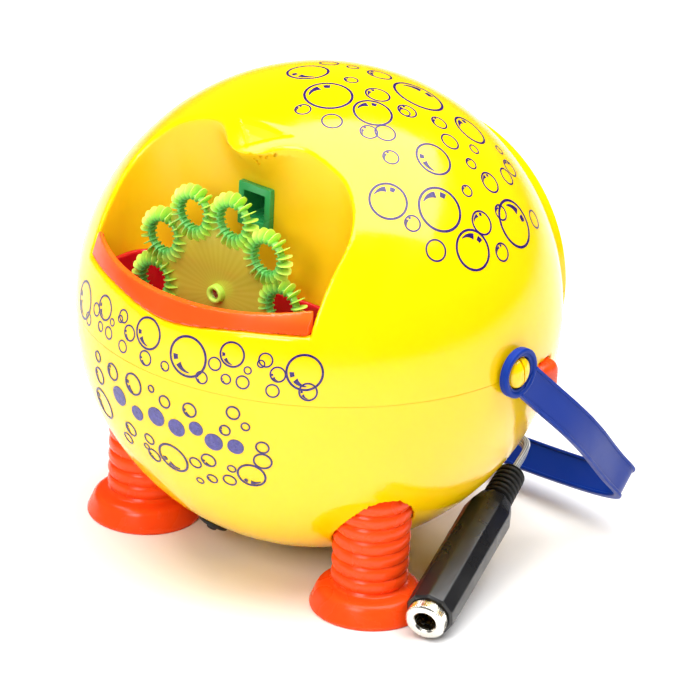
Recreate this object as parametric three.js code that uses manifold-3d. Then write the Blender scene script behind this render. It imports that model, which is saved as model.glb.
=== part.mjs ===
// Ball-shaped bubble machine on three ribbed feet, with a dipping wheel, tray, fan, gear train and
// carrying handle, and a switch lead that ends in an inline socket. Millimetres, +Z up.
// The front of the machine faces -Y. Inside the machine group every place is given from the centre
// of the ball; the group then stands the whole on the floor.
import * as THREE from "three";
import { mergeVertices } from "three/addons/utils/BufferGeometryUtils.js";
import Module from "manifold-3d";

const wasm = await Module();
wasm.setup();

// ---------- driving dimensions ----------
const BALL_RADIUS = 75;
const WALL = 2.2;
const FAR = 90; // further out than any surface
const GAP = 0.3; // clearance between touching pieces
const CENTRE_HEIGHT = 77.5; // ball centre above the floor
const CENTRE_Y = -1.55; // puts the middle of the machine's depth on the origin
const DRUM_RADIUS = 47.5; // round flat boss on the back
const DRUM_FACE = 63.6;
const COVER_RADIUS = 45;
const COVER_THICKNESS = 2.3;
const COVER_SCREW_CIRCLE = 40.5;
const COVER_SCREW_ANGLES = [40, 140, 230, 310];
const SCREW_HOLE = 1.5;

const RECESS_HALF_WIDTH = 42.5; // bubble chamber at the front
const RECESS_BACK = -31.5;
const RECESS_CORNER = 13;
const RECESS_SILL = 20;
const CHAMBER_WALL = 1.8;
const SPOUT_HALF_WIDTH = 17;
const SPOUT_TIP = -42.5;

const WHEEL_HEIGHT = 18.7; // wheel, motor and fan share this axis, along Y
const WHEEL_PLANE = -48.3;
const WHEEL_RINGS = 10;
const WHEEL_PITCH_RADIUS = 25;
const WHEEL_FIRST_RING = 11; // degrees from vertical towards +X
const RING_OUTER = 7.6;
const RING_INNER = 4.3;

const TRAY_RIM_TOP = 26;
const TRAY_SIDE_TOP = 18; // of the rim beside and behind the wheel
const TRAY_LIP_END = -54.6; // where the high front lip drops to the side rim
const TRAY_FLOOR = -18;
const TRAY_RADIUS = 69;
const TRAY_WALL = 1.7;
const TRAY_REAR = RECESS_BACK - 1;

const NOZZLE_HEIGHT = 42;
const DUCT_INNER = 10;
const DUCT_WALL = 1.5;

const GEAR_MODULE = 0.6;
const PINION_TEETH = 10;
const GEAR_TEETH = 36;
const WHEEL_GEAR_TEETH = 40;
const CENTRE_SLACK = 0.1;
const LAYER = { front: -26.9, middle: -23.4, rear: -19.9 }; // front face of each gear layer
const GEAR_WIDTH = 3;
const IDLER_2_ANGLE = -20; // degrees from +X towards +Z

const FAN_FRONT = 36;
const FAN_BACK = 57;
const DUCT_BACK = 50;
const FAN_RADIUS = 20;
const IMPELLER_RADIUS = 16.5;

const MOTOR_RADIUS = 12;
const MOTOR_SHAFT_RADIUS = 1;
const MOTOR_FRONT = -14.3;
const MOTOR_BACK = 13;

const CELL_RADIUS = 7.1; // AA cells, four, lying front to back
const CELL_LENGTH = 49.2;
const CELL_CAP = 1.2;
const CELL_CAP_RADIUS = 2.7;
const CELL_SPACING = 15;
const CELLS_HEIGHT = -18.3; // middle of the four cells
const BOX_FRONT = 6;
const BOX_BACK = 60.9;
const BOX_HALF = 16.4;
const BOX_WALL = 1.2;

const FEET = { foot_left: [-45.6, -26.3], foot_right: [45.6, -26.3], foot_rear: [0, 46] };
const FOOT_FLANGE = 18.1;
const FOOT_SHOULDER = 15.4;
const FOOT_FLANGE_HEIGHT = 7.5;
const FOOT_COLUMN = 11.9;
const FOOT_RIBS = 7;
const FOOT_RIB_PITCH = 4.6;
const POCKET_RADIUS = 12.7;
const POCKET_ROOF = -36.6;
const POCKET_WALL = 1.7;

const HANDLE_PIVOT_Z = 1.9;
const HANDLE_DROP = 43; // degrees below level, towards the back
const HANDLE_HALF_SPAN = 77;
const HANDLE_STRAIGHT = 80;
const HANDLE_REACH = 100.4;
const HANDLE_BULGE = 4; // how far the arms bend outwards, half way along
const BOW_SQUARENESS = 0.8; // 1 is an oval, and less is squarer
const STRAP_WIDTH = 10.4;
const STRAP_THICKNESS = 1.8;
const STRAP_RIM = 3;
const RIM_WIDTH = 1.2;
const EYE_RADIUS = 7.8;
const EYE_HOLE = 5.2;
const PIN_HOLE = 3.4;
const PIN_STEM = 2.9;
const PIN_HEAD = 4.4;

const BUTTON_Y = 19.6;
const BUTTON_Z = -7.6;
const BUTTON_SIZE = 10.4;
const BUTTON_INNER_X = 62;
const BUTTON_OUTER_X = 75;

const PLUG_PLACE = [-10.8, -33, -66.5];

const SOCKET_FACE = [73.3, -34.2, -70.7]; // middle of the socket's open end
const SOCKET_YAW = 17.3; // degrees from +Y towards -X
const SOCKET_PITCH = 13.8; // degrees up, so that its tail leans on the ball
const SOCKET_BODY_RADIUS = 7.8;
const SOCKET_HOLE = 3.3;

const LEAD_WIDTH = 3.8;
const LEAD_THICKNESS = 2;
const GLAND = [-33, DRUM_FACE, -10];
// Free lead, from the gland on the back to the socket's strain relief.
const LEAD_ROUTE = [
  [-33, 67.6, -10],
  [-33, 70.4, -10.3],
  [-33, 73.6, -11.8],
  [-33.3, 76.2, -14.8],
  [-33.8, 77.6, -19.4],
  [-34, 77.8, -25.5],
  [-33.6, 77.4, -31.8],
  [-31.9, 76.6, -38],
  [-27.5, 75, -44.5],
  [-20.5, 73, -49.8],
  [-11, 71, -53.4],
  [0, 69, -55.6],
  [11, 66.6, -56.6],
  [21.5, 63.6, -56.2],
  [31.5, 60, -54.2],
  [39.8, 55.8, -51.8],
  [45.5, 50.8, -50.4],
  [48.6, 45.4, -50.3],
  [50.2, 40, -51.6],
  [51.55, 35.6, -52.7],
];

// ---------- materials ----------
function finish(color, roughness, metalness = 0, opacity = 1) {
  return new THREE.MeshStandardMaterial({
    color,
    roughness,
    metalness,
    opacity,
    transparent: opacity < 1,
  });
}

const YELLOW = finish(0xffdc00, 0.18);
const ORANGE = finish(0xff4a20, 0.3);
const BLUE = finish(0x1c3f96, 0.28);
const LIME = finish(0xa5e146, 0.35);
const GREEN = finish(0x2fa85a, 0.3);
const WHITE = finish(0xe8e6dc, 0.45);
const GREY = finish(0x6f747a, 0.45);
const BLACK = finish(0x16171a, 0.35);
const RUBBER = finish(0x1b1b1c, 0.8);
const STEEL = finish(0xb9bcc0, 0.3, 1);
const NICKEL = finish(0xe6e3da, 0.18, 1);
const BRASS = finish(0xc9a352, 0.35, 1);
const LEAD_GREY = finish(0x8f949c, 0.4);
const CELL_JACKET = finish(0x2d3138, 0.35);

// ---------- solids ----------
const radians = (degrees) => (degrees * Math.PI) / 180;

function solid(geometry) {
  const bare = geometry.clone();
  bare.deleteAttribute("normal");
  bare.deleteAttribute("uv");
  const merged = mergeVertices(bare, 1e-4);
  const corners = [...merged.index.array];
  const triangles = [];
  for (let i = 0; i < corners.length; i += 3) {
    const [a, b, c] = corners.slice(i, i + 3);
    if (a !== b && b !== c && c !== a) triangles.push(a, b, c);
  }
  const make = (list) =>
    new wasm.Manifold(
      new wasm.Mesh({
        numProp: 3,
        vertProperties: new Float32Array(merged.attributes.position.array),
        triVerts: new Uint32Array(list),
      }),
    );
  const made = make(triangles);
  return made.volume() < 0 ? make(triangles.reverse()) : made;
}

const join = (...solids) => solids.reduce((whole, piece) => whole.add(piece));
const cut = (whole, ...tools) => tools.reduce((left, tool) => left.subtract(tool), whole);

function geometryOf(made) {
  const { numProp, vertProperties, triVerts, numVert } = made.getMesh();
  const positions = new Float32Array(numVert * 3);
  for (let i = 0; i < numVert; i++) {
    positions.set(vertProperties.subarray(i * numProp, i * numProp + 3), i * 3);
  }
  const geometry = new THREE.BufferGeometry();
  geometry.setAttribute("position", new THREE.BufferAttribute(positions, 3));
  geometry.setIndex(new THREE.BufferAttribute(triVerts, 1));
  geometry.computeVertexNormals();
  return geometry;
}

function box([x0, x1], [y0, y1], [z0, z1]) {
  const geometry = new THREE.BoxGeometry(x1 - x0, y1 - y0, z1 - z0);
  return solid(geometry.translate((x0 + x1) / 2, (y0 + y1) / 2, (z0 + z1) / 2));
}

// A cylinder along x, y or z through the given point, between two places on that axis.
function rod(axis, radius, from, to, sides = 24, at = [0, 0, 0]) {
  const geometry = new THREE.CylinderGeometry(radius, radius, to - from, sides);
  geometry.translate(0, (from + to) / 2, 0);
  if (axis === "z") geometry.rotateX(Math.PI / 2);
  if (axis === "x") geometry.rotateZ(-Math.PI / 2);
  return solid(geometry.translate(...at));
}

// A closed profile of [radius, place along the axis], turned about z or y.
function turned(axis, profile, sides) {
  const points = profile.map(([radius, along]) => new THREE.Vector2(radius, along));
  const geometry = new THREE.LatheGeometry(points, sides);
  if (axis === "z") geometry.rotateX(Math.PI / 2);
  return solid(geometry);
}

function prismZ(shape, z0, z1) {
  const geometry = new THREE.ExtrudeGeometry(shape, {
    depth: z1 - z0,
    bevelEnabled: false,
    curveSegments: 6,
  });
  return solid(geometry.translate(0, 0, z0));
}

// A shape drawn in x and z, given depth along y.
function prismY(shape, y0, y1) {
  const geometry = new THREE.ExtrudeGeometry(shape, {
    depth: y1 - y0,
    bevelEnabled: false,
    curveSegments: 6,
  });
  return solid(geometry.rotateX(Math.PI / 2).translate(0, y1, 0));
}

function ballSolid(radius, around, upDown) {
  return solid(new THREE.SphereGeometry(radius, around, upDown).rotateX(Math.PI / 2));
}

const machine = new THREE.Group();
const lead = new THREE.Group();

function add(group, name, made, material) {
  const mesh = new THREE.Mesh(geometryOf(made), material.clone());
  mesh.name = name;
  group.add(mesh);
  return mesh;
}

// ---------- housing ----------
function recessShape(inset) {
  const half = RECESS_HALF_WIDTH - inset;
  const back = RECESS_BACK - inset;
  const corner = RECESS_CORNER - inset;
  const front = -BALL_RADIUS - 10;
  const shape = new THREE.Shape();
  shape.moveTo(-half, front);
  shape.lineTo(half, front);
  shape.lineTo(half, back - corner);
  shape.absarc(half - corner, back - corner, corner, 0, Math.PI / 2, false);
  shape.lineTo(-half + corner, back);
  shape.absarc(-half + corner, back - corner, corner, Math.PI / 2, Math.PI, false);
  return shape;
}

function spoutShape() {
  const shape = new THREE.Shape();
  shape.moveTo(-SPOUT_HALF_WIDTH, RECESS_BACK + 2);
  shape.quadraticCurveTo(-8, RECESS_BACK - 1, -3, SPOUT_TIP + 1);
  shape.quadraticCurveTo(0, SPOUT_TIP - 1, 3, SPOUT_TIP + 1);
  shape.quadraticCurveTo(8, RECESS_BACK - 1, SPOUT_HALF_WIDTH, RECESS_BACK + 2);
  return shape;
}

const everyway = [-FAR, FAR];
const DRUM_ROOT = 20; // where the drum starts, inside the ball
const DRUM_INSIDE = 59; // inner face of the rim that the cover sits on
const SEAT_OPENING = 36;
const outside = join(
  ballSolid(BALL_RADIUS, 40, 24).intersect(box(everyway, [-FAR, DRUM_FACE], everyway)),
  rod("y", DRUM_RADIUS, DRUM_ROOT, DRUM_FACE, 40),
);
const hollow = join(
  ballSolid(BALL_RADIUS - WALL, 24, 16).intersect(box(everyway, [-FAR, DRUM_INSIDE], everyway)),
  rod("y", DRUM_RADIUS - WALL, DRUM_ROOT, DRUM_INSIDE, 24),
);
const coverSeat = rod("y", COVER_RADIUS + GAP, DRUM_FACE - COVER_THICKNESS - GAP, FAR, 40);
const seatOpening = rod("y", SEAT_OPENING, 40, FAR, 28);
const BOX_ROOM = BOX_HALF + 2;
const boxClearance = box(
  [-BOX_ROOM, BOX_ROOM],
  [40, FAR],
  [CELLS_HEIGHT - BOX_ROOM, CELLS_HEIGHT + BOX_ROOM],
);
const coverScrewAt = (angle) => [
  COVER_SCREW_CIRCLE * Math.cos(radians(angle)),
  0,
  COVER_SCREW_CIRCLE * Math.sin(radians(angle)),
];
const seatScrewHoles = COVER_SCREW_ANGLES.map((angle) =>
  rod("y", SCREW_HOLE, 50, FAR, 10, coverScrewAt(angle)),
);
const skin = cut(outside, hollow, coverSeat, seatOpening, boxClearance, ...seatScrewHoles);

const PART_LINE = GAP / 2; // the shells meet at the equator
const above = box(everyway, everyway, [PART_LINE, FAR]);
const below = box(everyway, everyway, [-FAR, -PART_LINE]);

// Soft nose at the back of the chamber, under the tongue of the roof.
function nose() {
  const ellipsoid = new THREE.SphereGeometry(1, 16, 10).scale(11, 9, 9);
  return solid(ellipsoid.translate(0, RECESS_BACK - 1.5, 61))
    .intersect(ballSolid(BALL_RADIUS - 1, 24, 16))
    .intersect(box(everyway, [-FAR, RECESS_BACK + CHAMBER_WALL], everyway));
}

// Three-sided dimple in the tongue, its point towards the front.
function dimple() {
  const pyramid = turned("z", [[0, 0], [10, 8], [10, 12], [0, 12]], 3);
  return pyramid.translate(0, RECESS_BACK - 1.7, 60.2);
}

function upperShell() {
  const roofTongue = prismZ(spoutShape(), NOZZLE_HEIGHT, FAR);
  const opening = cut(prismZ(recessShape(0), RECESS_SILL, FAR), roofTongue);
  const chamberWall = cut(
    prismZ(recessShape(-CHAMBER_WALL), PART_LINE, FAR),
    prismZ(recessShape(0), -10, FAR),
  ).intersect(outside);
  const shell = join(cut(skin.intersect(above), opening), chamberWall, nose());
  const throughWall = [RECESS_BACK - 5, RECESS_BACK + 5];
  const nozzleHole = box(
    [-DUCT_INNER / 2, DUCT_INNER / 2],
    throughWall,
    [NOZZLE_HEIGHT - DUCT_INNER / 2, NOZZLE_HEIGHT + DUCT_INNER / 2],
  );
  const shaftHole = rod("y", 2.2, ...throughWall, 12, [0, 0, WHEEL_HEIGHT]);
  return cut(shell, dimple(), nozzleHole, shaftHole, ...handlePinHoles());
}

function handlePinHoles() {
  return [
    [60, FAR],
    [-FAR, -60],
  ].map((span) => rod("x", PIN_HOLE, ...span, 12, [0, 0, HANDLE_PIVOT_Z]));
}

function lowerShell() {
  let shell = skin.intersect(below);
  const places = Object.values(FEET).map(([x, y]) => [x, y, 0]);
  places.forEach((place) => {
    const wall = rod("z", POCKET_RADIUS + POCKET_WALL, -70, POCKET_ROOF + 1.5, 20, place);
    shell = join(shell, wall.intersect(outside));
  });
  places.forEach((place) => {
    shell = cut(shell, rod("z", POCKET_RADIUS, -FAR, POCKET_ROOF, 20, place));
  });
  const half = BUTTON_SIZE / 2 + 0.4;
  const buttonHole = box(
    [60, FAR],
    [BUTTON_Y - half, BUTTON_Y + half],
    [BUTTON_Z - half, BUTTON_Z + half],
  );
  const glandRoom = rod("y", 4.6, 50, FAR, 14, [GLAND[0], 0, GLAND[2]]);
  return cut(shell, buttonHole, glandRoom, plugHole(), ...handlePinHoles());
}

add(machine, "upper_shell", upperShell(), YELLOW);
add(machine, "lower_shell", lowerShell(), YELLOW);

// ---------- rear cover, its screws and the battery door ----------
const DOOR_HALF = 15.6;
const DOORWAY_HALF = DOOR_HALF + 0.4;
const COVER_INNER = DRUM_FACE - COVER_THICKNESS;
const GRILLE_RADIUS = 17.5;
const GRILLE_HEIGHT = WHEEL_HEIGHT + 2;
const SLOT_PITCH = 5;
const SLOT_HALF = 1.4;

function rearCover() {
  const through = [50, FAR];
  const plate = rod("y", COVER_RADIUS, COVER_INNER, DRUM_FACE, 40);
  const doorway = box(
    [-DOORWAY_HALF, DOORWAY_HALF],
    through,
    [CELLS_HEIGHT - DOORWAY_HALF, CELLS_HEIGHT + DOORWAY_HALF],
  );
  const slots = [-3, -2, -1, 0, 1, 2, 3].map((i) => {
    const x = i * SLOT_PITCH;
    const half = Math.sqrt(GRILLE_RADIUS ** 2 - x ** 2);
    return box([x - SLOT_HALF, x + SLOT_HALF], through, [GRILLE_HEIGHT - half, GRILLE_HEIGHT + half]);
  });
  const screwHoles = COVER_SCREW_ANGLES.flatMap((angle) => [
    rod("y", SCREW_HOLE, ...through, 10, coverScrewAt(angle)),
    rod("y", 3.2, DRUM_FACE - 1.3, FAR, 14, coverScrewAt(angle)),
  ]);
  const glandHole = rod("y", 3.1, ...through, 14, [GLAND[0], 0, GLAND[2]]);
  return cut(plate, doorway, ...slots, ...screwHoles, glandHole);
}

add(machine, "rear_cover", rearCover(), YELLOW);

function coverScrew() {
  const body = join(
    rod("y", 2.9, DRUM_FACE - 1, DRUM_FACE - 0.1, 14),
    rod("y", 1.2, 56, DRUM_FACE - 0.5, 8),
  );
  const slotAlong = box([-1.9, 1.9], [DRUM_FACE - 0.6, 70], [-0.35, 0.35]);
  const slotAcross = box([-0.35, 0.35], [DRUM_FACE - 0.6, 70], [-1.9, 1.9]);
  return cut(body, slotAlong, slotAcross);
}

COVER_SCREW_ANGLES.forEach((angle, i) => {
  const screw = add(machine, "cover_screw_" + (i + 1), coverScrew(), STEEL);
  screw.position.set(...coverScrewAt(angle));
});

function batteryDoor() {
  const z0 = CELLS_HEIGHT - DOOR_HALF;
  const z1 = CELLS_HEIGHT + DOOR_HALF;
  const plate = box([-DOOR_HALF, DOOR_HALF], [DRUM_FACE - 2, DRUM_FACE], [z0, z1]);
  const fingerHollow = rod("x", 2, -6, 6, 16, [0, DRUM_FACE + 0.8, z0 + 4]);
  return cut(plate, fingerHollow);
}

add(machine, "battery_door", batteryDoor(), YELLOW);

function batteryBox() {
  const z0 = CELLS_HEIGHT - BOX_HALF;
  const z1 = CELLS_HEIGHT + BOX_HALF;
  const outer = box([-BOX_HALF, BOX_HALF], [BOX_FRONT, BOX_BACK], [z0, z1]);
  const inner = box(
    [-BOX_HALF + BOX_WALL, BOX_HALF - BOX_WALL],
    [BOX_FRONT + BOX_WALL, FAR],
    [z0 + BOX_WALL, z1 - BOX_WALL],
  );
  return cut(outer, inner);
}

add(machine, "battery_box", batteryBox(), GREY);

function cell() {
  const profile = [
    [0, 0],
    [CELL_RADIUS, 0],
    [CELL_RADIUS, CELL_LENGTH],
    [CELL_CAP_RADIUS, CELL_LENGTH],
    [CELL_CAP_RADIUS, CELL_LENGTH + CELL_CAP],
    [0, CELL_LENGTH + CELL_CAP],
  ];
  return turned("y", profile, 16);
}

const CELL_FRONT = BOX_FRONT + 2.5;
[1, 2, 3, 4].forEach((number, i) => {
  const battery = add(machine, "battery_" + number, cell(), CELL_JACKET);
  const side = i % 2 ? 1 : -1;
  const level = i < 2 ? 1 : -1;
  const forward = side * level > 0;
  battery.position.set(
    (side * CELL_SPACING) / 2,
    forward ? CELL_FRONT + CELL_LENGTH + CELL_CAP : CELL_FRONT,
    CELLS_HEIGHT + (level * CELL_SPACING) / 2,
  );
  if (forward) battery.rotation.z = Math.PI;
});

// Battery contacts: two upright strips at the front of the cells, two level ones on the door.
const STRIP = 0.5;
const FRONT_CONTACT_Y = BOX_FRONT + BOX_WALL + GAP;
const REAR_CONTACT_Y = CELL_FRONT + CELL_LENGTH + CELL_CAP + GAP;
const ALL = [-13, 13]; // across both cells
const LOW = [-13, -2];
const HIGH = [2, 13];

function contact(acrossX, upZ, y) {
  return box(acrossX, [y, y + STRIP], upZ).translate(0, 0, CELLS_HEIGHT);
}

add(machine, "contact_front_left", contact(LOW, ALL, FRONT_CONTACT_Y), STEEL);
add(machine, "contact_front_right", contact(HIGH, ALL, FRONT_CONTACT_Y), STEEL);
add(machine, "contact_door_upper", contact(ALL, HIGH, REAR_CONTACT_Y), STEEL);
add(machine, "contact_door_lower", contact(ALL, LOW, REAR_CONTACT_Y), STEEL);

// ---------- tray ----------
// The space between the chamber's walls and the front of the ball, brought in by the inset.
function trayPlan(inset, z0, z1) {
  return prismZ(recessShape(1 + inset), z0, z1).intersect(
    rod("z", TRAY_RADIUS - inset, z0 - 1, z1 + 1, 40),
  );
}

// The lip closes the front of the chamber and follows the ball. The rim is lower at the sides and the
// back, and notched where the wheel's shaft passes.
function tray() {
  const basin = trayPlan(0, TRAY_FLOOR, TRAY_RIM_TOP);
  const lip = prismZ(recessShape(0.4), RECESS_SILL + GAP, TRAY_RIM_TOP)
    .intersect(ballSolid(BALL_RADIUS - 0.05, 40, 24))
    .intersect(box(everyway, [-FAR, TRAY_LIP_END], everyway));
  const well = trayPlan(TRAY_WALL, TRAY_FLOOR + TRAY_WALL, FAR);
  const shaftNotch = box([-4, 4], [TRAY_REAR - 5, TRAY_REAR + 5], [WHEEL_HEIGHT - 5, FAR]);
  const overSides = box(everyway, [TRAY_LIP_END, FAR], [TRAY_SIDE_TOP, FAR]);
  return cut(join(basin, lip), well, shaftNotch, overSides);
}

add(machine, "solution_tray", tray(), ORANGE);

// ---------- bubble wheel ----------
const WEB_RADIUS = 20.5;
const WEB_HALF = 0.6;
const RING_HALF = 2.4;
const HUB_RADIUS = 3.6;
const WHEEL_SHAFT_RADIUS = 1.5;

function bubbleWheel() {
  const places = Array.from({ length: WHEEL_RINGS }, (_, i) => {
    const angle = radians(WHEEL_FIRST_RING + (i * 360) / WHEEL_RINGS);
    return [WHEEL_PITCH_RADIUS * Math.sin(angle), 0, WHEEL_PITCH_RADIUS * Math.cos(angle)];
  });
  const web = rod("y", WEB_RADIUS, -WEB_HALF, WEB_HALF, 40);
  const rings = places.map((place) => rod("y", RING_OUTER, -RING_HALF, RING_HALF, 14, place));
  const holes = places.map((place) => rod("y", RING_INNER, -9, 9, 10, place));
  const hub = rod("y", HUB_RADIUS, -2.6, 4, 16);
  const bore = rod("y", WHEEL_SHAFT_RADIUS + GAP, -9, 9, 12);
  return cut(join(web, ...rings, hub), ...holes, bore).translate(0, WHEEL_PLANE, 0);
}

// Puts a piece that was made round its own axis on the axis at x and z.
function on(mesh, x, z) {
  mesh.position.set(x, 0, z);
}

function onShaft(name, made, material) {
  on(add(machine, name, made, material), 0, WHEEL_HEIGHT);
}

const WHEEL_SHAFT = [WHEEL_PLANE - 1.6, LAYER.front + GEAR_WIDTH + 0.2];
onShaft("bubble_wheel", bubbleWheel(), LIME);
onShaft("wheel_shaft", rod("y", WHEEL_SHAFT_RADIUS, ...WHEEL_SHAFT, 12), STEEL);

// ---------- gear train ----------
const pitchRadius = (teeth) => (teeth * GEAR_MODULE) / 2;
const idlerSpan = pitchRadius(PINION_TEETH) + pitchRadius(GEAR_TEETH) + CENTRE_SLACK;
const wheelSpan = pitchRadius(PINION_TEETH) + pitchRadius(WHEEL_GEAR_TEETH) + CENTRE_SLACK;
const shaftAt = new THREE.Vector2(0, WHEEL_HEIGHT);
const idler2Angle = radians(IDLER_2_ANGLE);
const idler1Angle = idler2Angle - Math.acos(wheelSpan / 2 / idlerSpan);
const polar = (radius, angle) =>
  new THREE.Vector2(Math.cos(angle), Math.sin(angle)).multiplyScalar(radius);
const idler2At = shaftAt.clone().add(polar(wheelSpan, idler2Angle));
const idler1At = shaftAt.clone().add(polar(idlerSpan, idler1Angle));
const heading = (from, to) => Math.atan2(to.y - from.y, to.x - from.x);

// A spur gear with its first tooth centred on the given angle.
function gear(teeth, phase, y0) {
  const pitch = (2 * Math.PI) / teeth;
  const tip = pitchRadius(teeth) + 0.9 * GEAR_MODULE;
  const root = pitchRadius(teeth) - 1.15 * GEAR_MODULE;
  const shape = new THREE.Shape();
  for (let i = 0; i < teeth; i++) {
    const middle = phase + i * pitch;
    [
      [root, -0.25],
      [tip, -0.1],
      [tip, 0.1],
      [root, 0.25],
    ].forEach(([radius, part], k) => {
      const point = polar(radius, middle + part * pitch);
      if (i + k) shape.lineTo(point.x, point.y);
      else shape.moveTo(point.x, point.y);
    });
  }
  return prismY(shape, y0, y0 + GEAR_WIDTH);
}

const tooth = (teeth) => Math.PI / teeth; // half a tooth pitch
const motorToIdler1 = heading(shaftAt, idler1At);
const idler1ToIdler2 = heading(idler1At, idler2At);
const idler2ToWheel = heading(idler2At, shaftAt);
const AXLE_RADIUS = 1;
const AXLE_HOLE = AXLE_RADIUS + 0.15;
const AXLE_ENDS = [-28.6, -15.2];
const GEARBOX = [-40, 0]; // longer than the train, for its holes

// A large gear and a small one on one sleeve, as one piece.
function idler(gearPhase, gearFace, pinionPhase, pinionFace) {
  const faces = [gearFace, pinionFace];
  const sleeve = rod("y", 2, Math.min(...faces), Math.max(...faces) + 1, 12);
  const large = gear(GEAR_TEETH, gearPhase, gearFace);
  const small = gear(PINION_TEETH, pinionPhase, pinionFace);
  return cut(join(large, small, sleeve), rod("y", AXLE_HOLE, ...GEARBOX, 10));
}

const wheelGear = cut(
  gear(WHEEL_GEAR_TEETH, idler2ToWheel + Math.PI + tooth(WHEEL_GEAR_TEETH), LAYER.front),
  rod("y", WHEEL_SHAFT_RADIUS + GAP, ...GEARBOX, 12),
);
const motorPinion = cut(
  gear(PINION_TEETH, motorToIdler1, LAYER.rear),
  rod("y", MOTOR_SHAFT_RADIUS + GAP, ...GEARBOX, 10),
);
const idlerGear1 = idler(
  motorToIdler1 + Math.PI + tooth(GEAR_TEETH),
  LAYER.rear,
  idler1ToIdler2,
  LAYER.middle,
);
const idlerGear2 = idler(
  idler1ToIdler2 + Math.PI + tooth(GEAR_TEETH),
  LAYER.middle,
  idler2ToWheel,
  LAYER.front,
);

onShaft("wheel_gear", wheelGear, WHITE);
onShaft("motor_pinion", motorPinion, BRASS);
[
  [1, idlerGear1, idler1At],
  [2, idlerGear2, idler2At],
].forEach(([number, made, place]) => {
  const axle = rod("y", AXLE_RADIUS, ...AXLE_ENDS, 10);
  on(add(machine, "idler_gear_" + number, made, WHITE), place.x, place.y);
  on(add(machine, "idler_axle_" + number, axle, STEEL), place.x, place.y);
});

// Each plate holds both idler axles and lets the middle shaft through.
function gearPlate(y0, y1, shaftHole) {
  const plate = box([-16, 30], [y0, y1], [-9, 33]);
  const holes = [idler1At, idler2At].map((place) =>
    rod("y", AXLE_HOLE, ...GEARBOX, 10, [place.x, 0, place.y]),
  );
  return cut(plate, ...holes, rod("y", shaftHole, ...GEARBOX, 14, [0, 0, WHEEL_HEIGHT]));
}

add(machine, "gear_plate_front", gearPlate(-29.1, -27.4, 1.9), WHITE);
add(machine, "gear_plate_rear", gearPlate(-16.4, -14.7, 1.6), WHITE);

// ---------- motor and fan ----------
const MOTOR_BOSS = 1.5;
const motorCan = cut(
  join(
    rod("y", MOTOR_RADIUS, MOTOR_FRONT, MOTOR_BACK, 24),
    rod("y", 3, MOTOR_FRONT, MOTOR_BACK + MOTOR_BOSS, 12),
  ),
  rod("y", MOTOR_SHAFT_RADIUS + 0.4, -30, 30, 10),
);
onShaft("motor_can", motorCan, STEEL);
onShaft("motor_shaft", rod("y", MOTOR_SHAFT_RADIUS, LAYER.rear + 0.2, 52, 10), STEEL);

// Round fan chamber with a square duct off its top, which runs forward to the air nozzle.
function fanHousing() {
  const half = DUCT_INNER / 2;
  const outerHalf = half + DUCT_WALL;
  const axis = [0, 0, WHEEL_HEIGHT];
  const inFront = FAN_FRONT + DUCT_WALL;
  const inBack = DUCT_BACK - DUCT_WALL;
  const height = (reach) => [NOZZLE_HEIGHT - reach, NOZZLE_HEIGHT + reach];
  const drum = rod("y", FAN_RADIUS, FAN_FRONT, FAN_BACK, 28, axis);
  const duct = box(
    [-outerHalf, outerHalf],
    [RECESS_BACK + CHAMBER_WALL + 0.4, DUCT_BACK],
    height(outerHalf),
  );
  const drumHollow = rod("y", FAN_RADIUS - DUCT_WALL, inFront, FAN_BACK - DUCT_WALL, 28, axis);
  const ductHollow = box([-half, half], [-40, inBack], height(half));
  const throat = box([-half, half], [inFront, inBack], [WHEEL_HEIGHT + 14, NOZZLE_HEIGHT]);
  const shaftHole = rod("y", 2.2, 20, FAN_FRONT + 9, 12, axis);
  const intake = rod("y", 11, FAN_BACK - 9, FAR, 20, axis);
  return cut(join(drum, duct), drumHollow, ductHollow, throat, shaftHole, intake);
}

add(machine, "fan_housing", fanHousing(), GREY);

const FAN_BLADES = 8;

function impeller() {
  const disc = rod("y", IMPELLER_RADIUS, FAN_FRONT + 3, FAN_FRONT + 4.2, 24);
  const hub = rod("y", 3, FAN_FRONT + 3, FAN_FRONT + 14, 12);
  const blade = box([2, IMPELLER_RADIUS - 0.4], [FAN_FRONT + 3.6, FAN_FRONT + 15], [-0.5, 0.5]);
  let whole = join(disc, hub);
  for (let i = 0; i < FAN_BLADES; i++) {
    whole = join(whole, blade.rotate([0, (i * 360) / FAN_BLADES, 0]));
  }
  return cut(whole, rod("y", MOTOR_SHAFT_RADIUS + GAP, 0, FAR, 10));
}

onShaft("fan_impeller", impeller(), WHITE);

// Square flange against the chamber's back wall, with a neck through it into the duct.
function airNozzle() {
  const block = (halfWidth, ys, halfHeight) =>
    box([-halfWidth, halfWidth], ys, [NOZZLE_HEIGHT - halfHeight, NOZZLE_HEIGHT + halfHeight]);
  const flange = block(6.7, [RECESS_BACK - 3, RECESS_BACK - GAP], 7.2);
  const neck = block(4.7, [RECESS_BACK - 1, RECESS_BACK + 4], 4.7);
  return cut(join(flange, neck), block(4, [-60, 0], 4));
}

add(machine, "air_nozzle", airNozzle(), GREEN);

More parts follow.
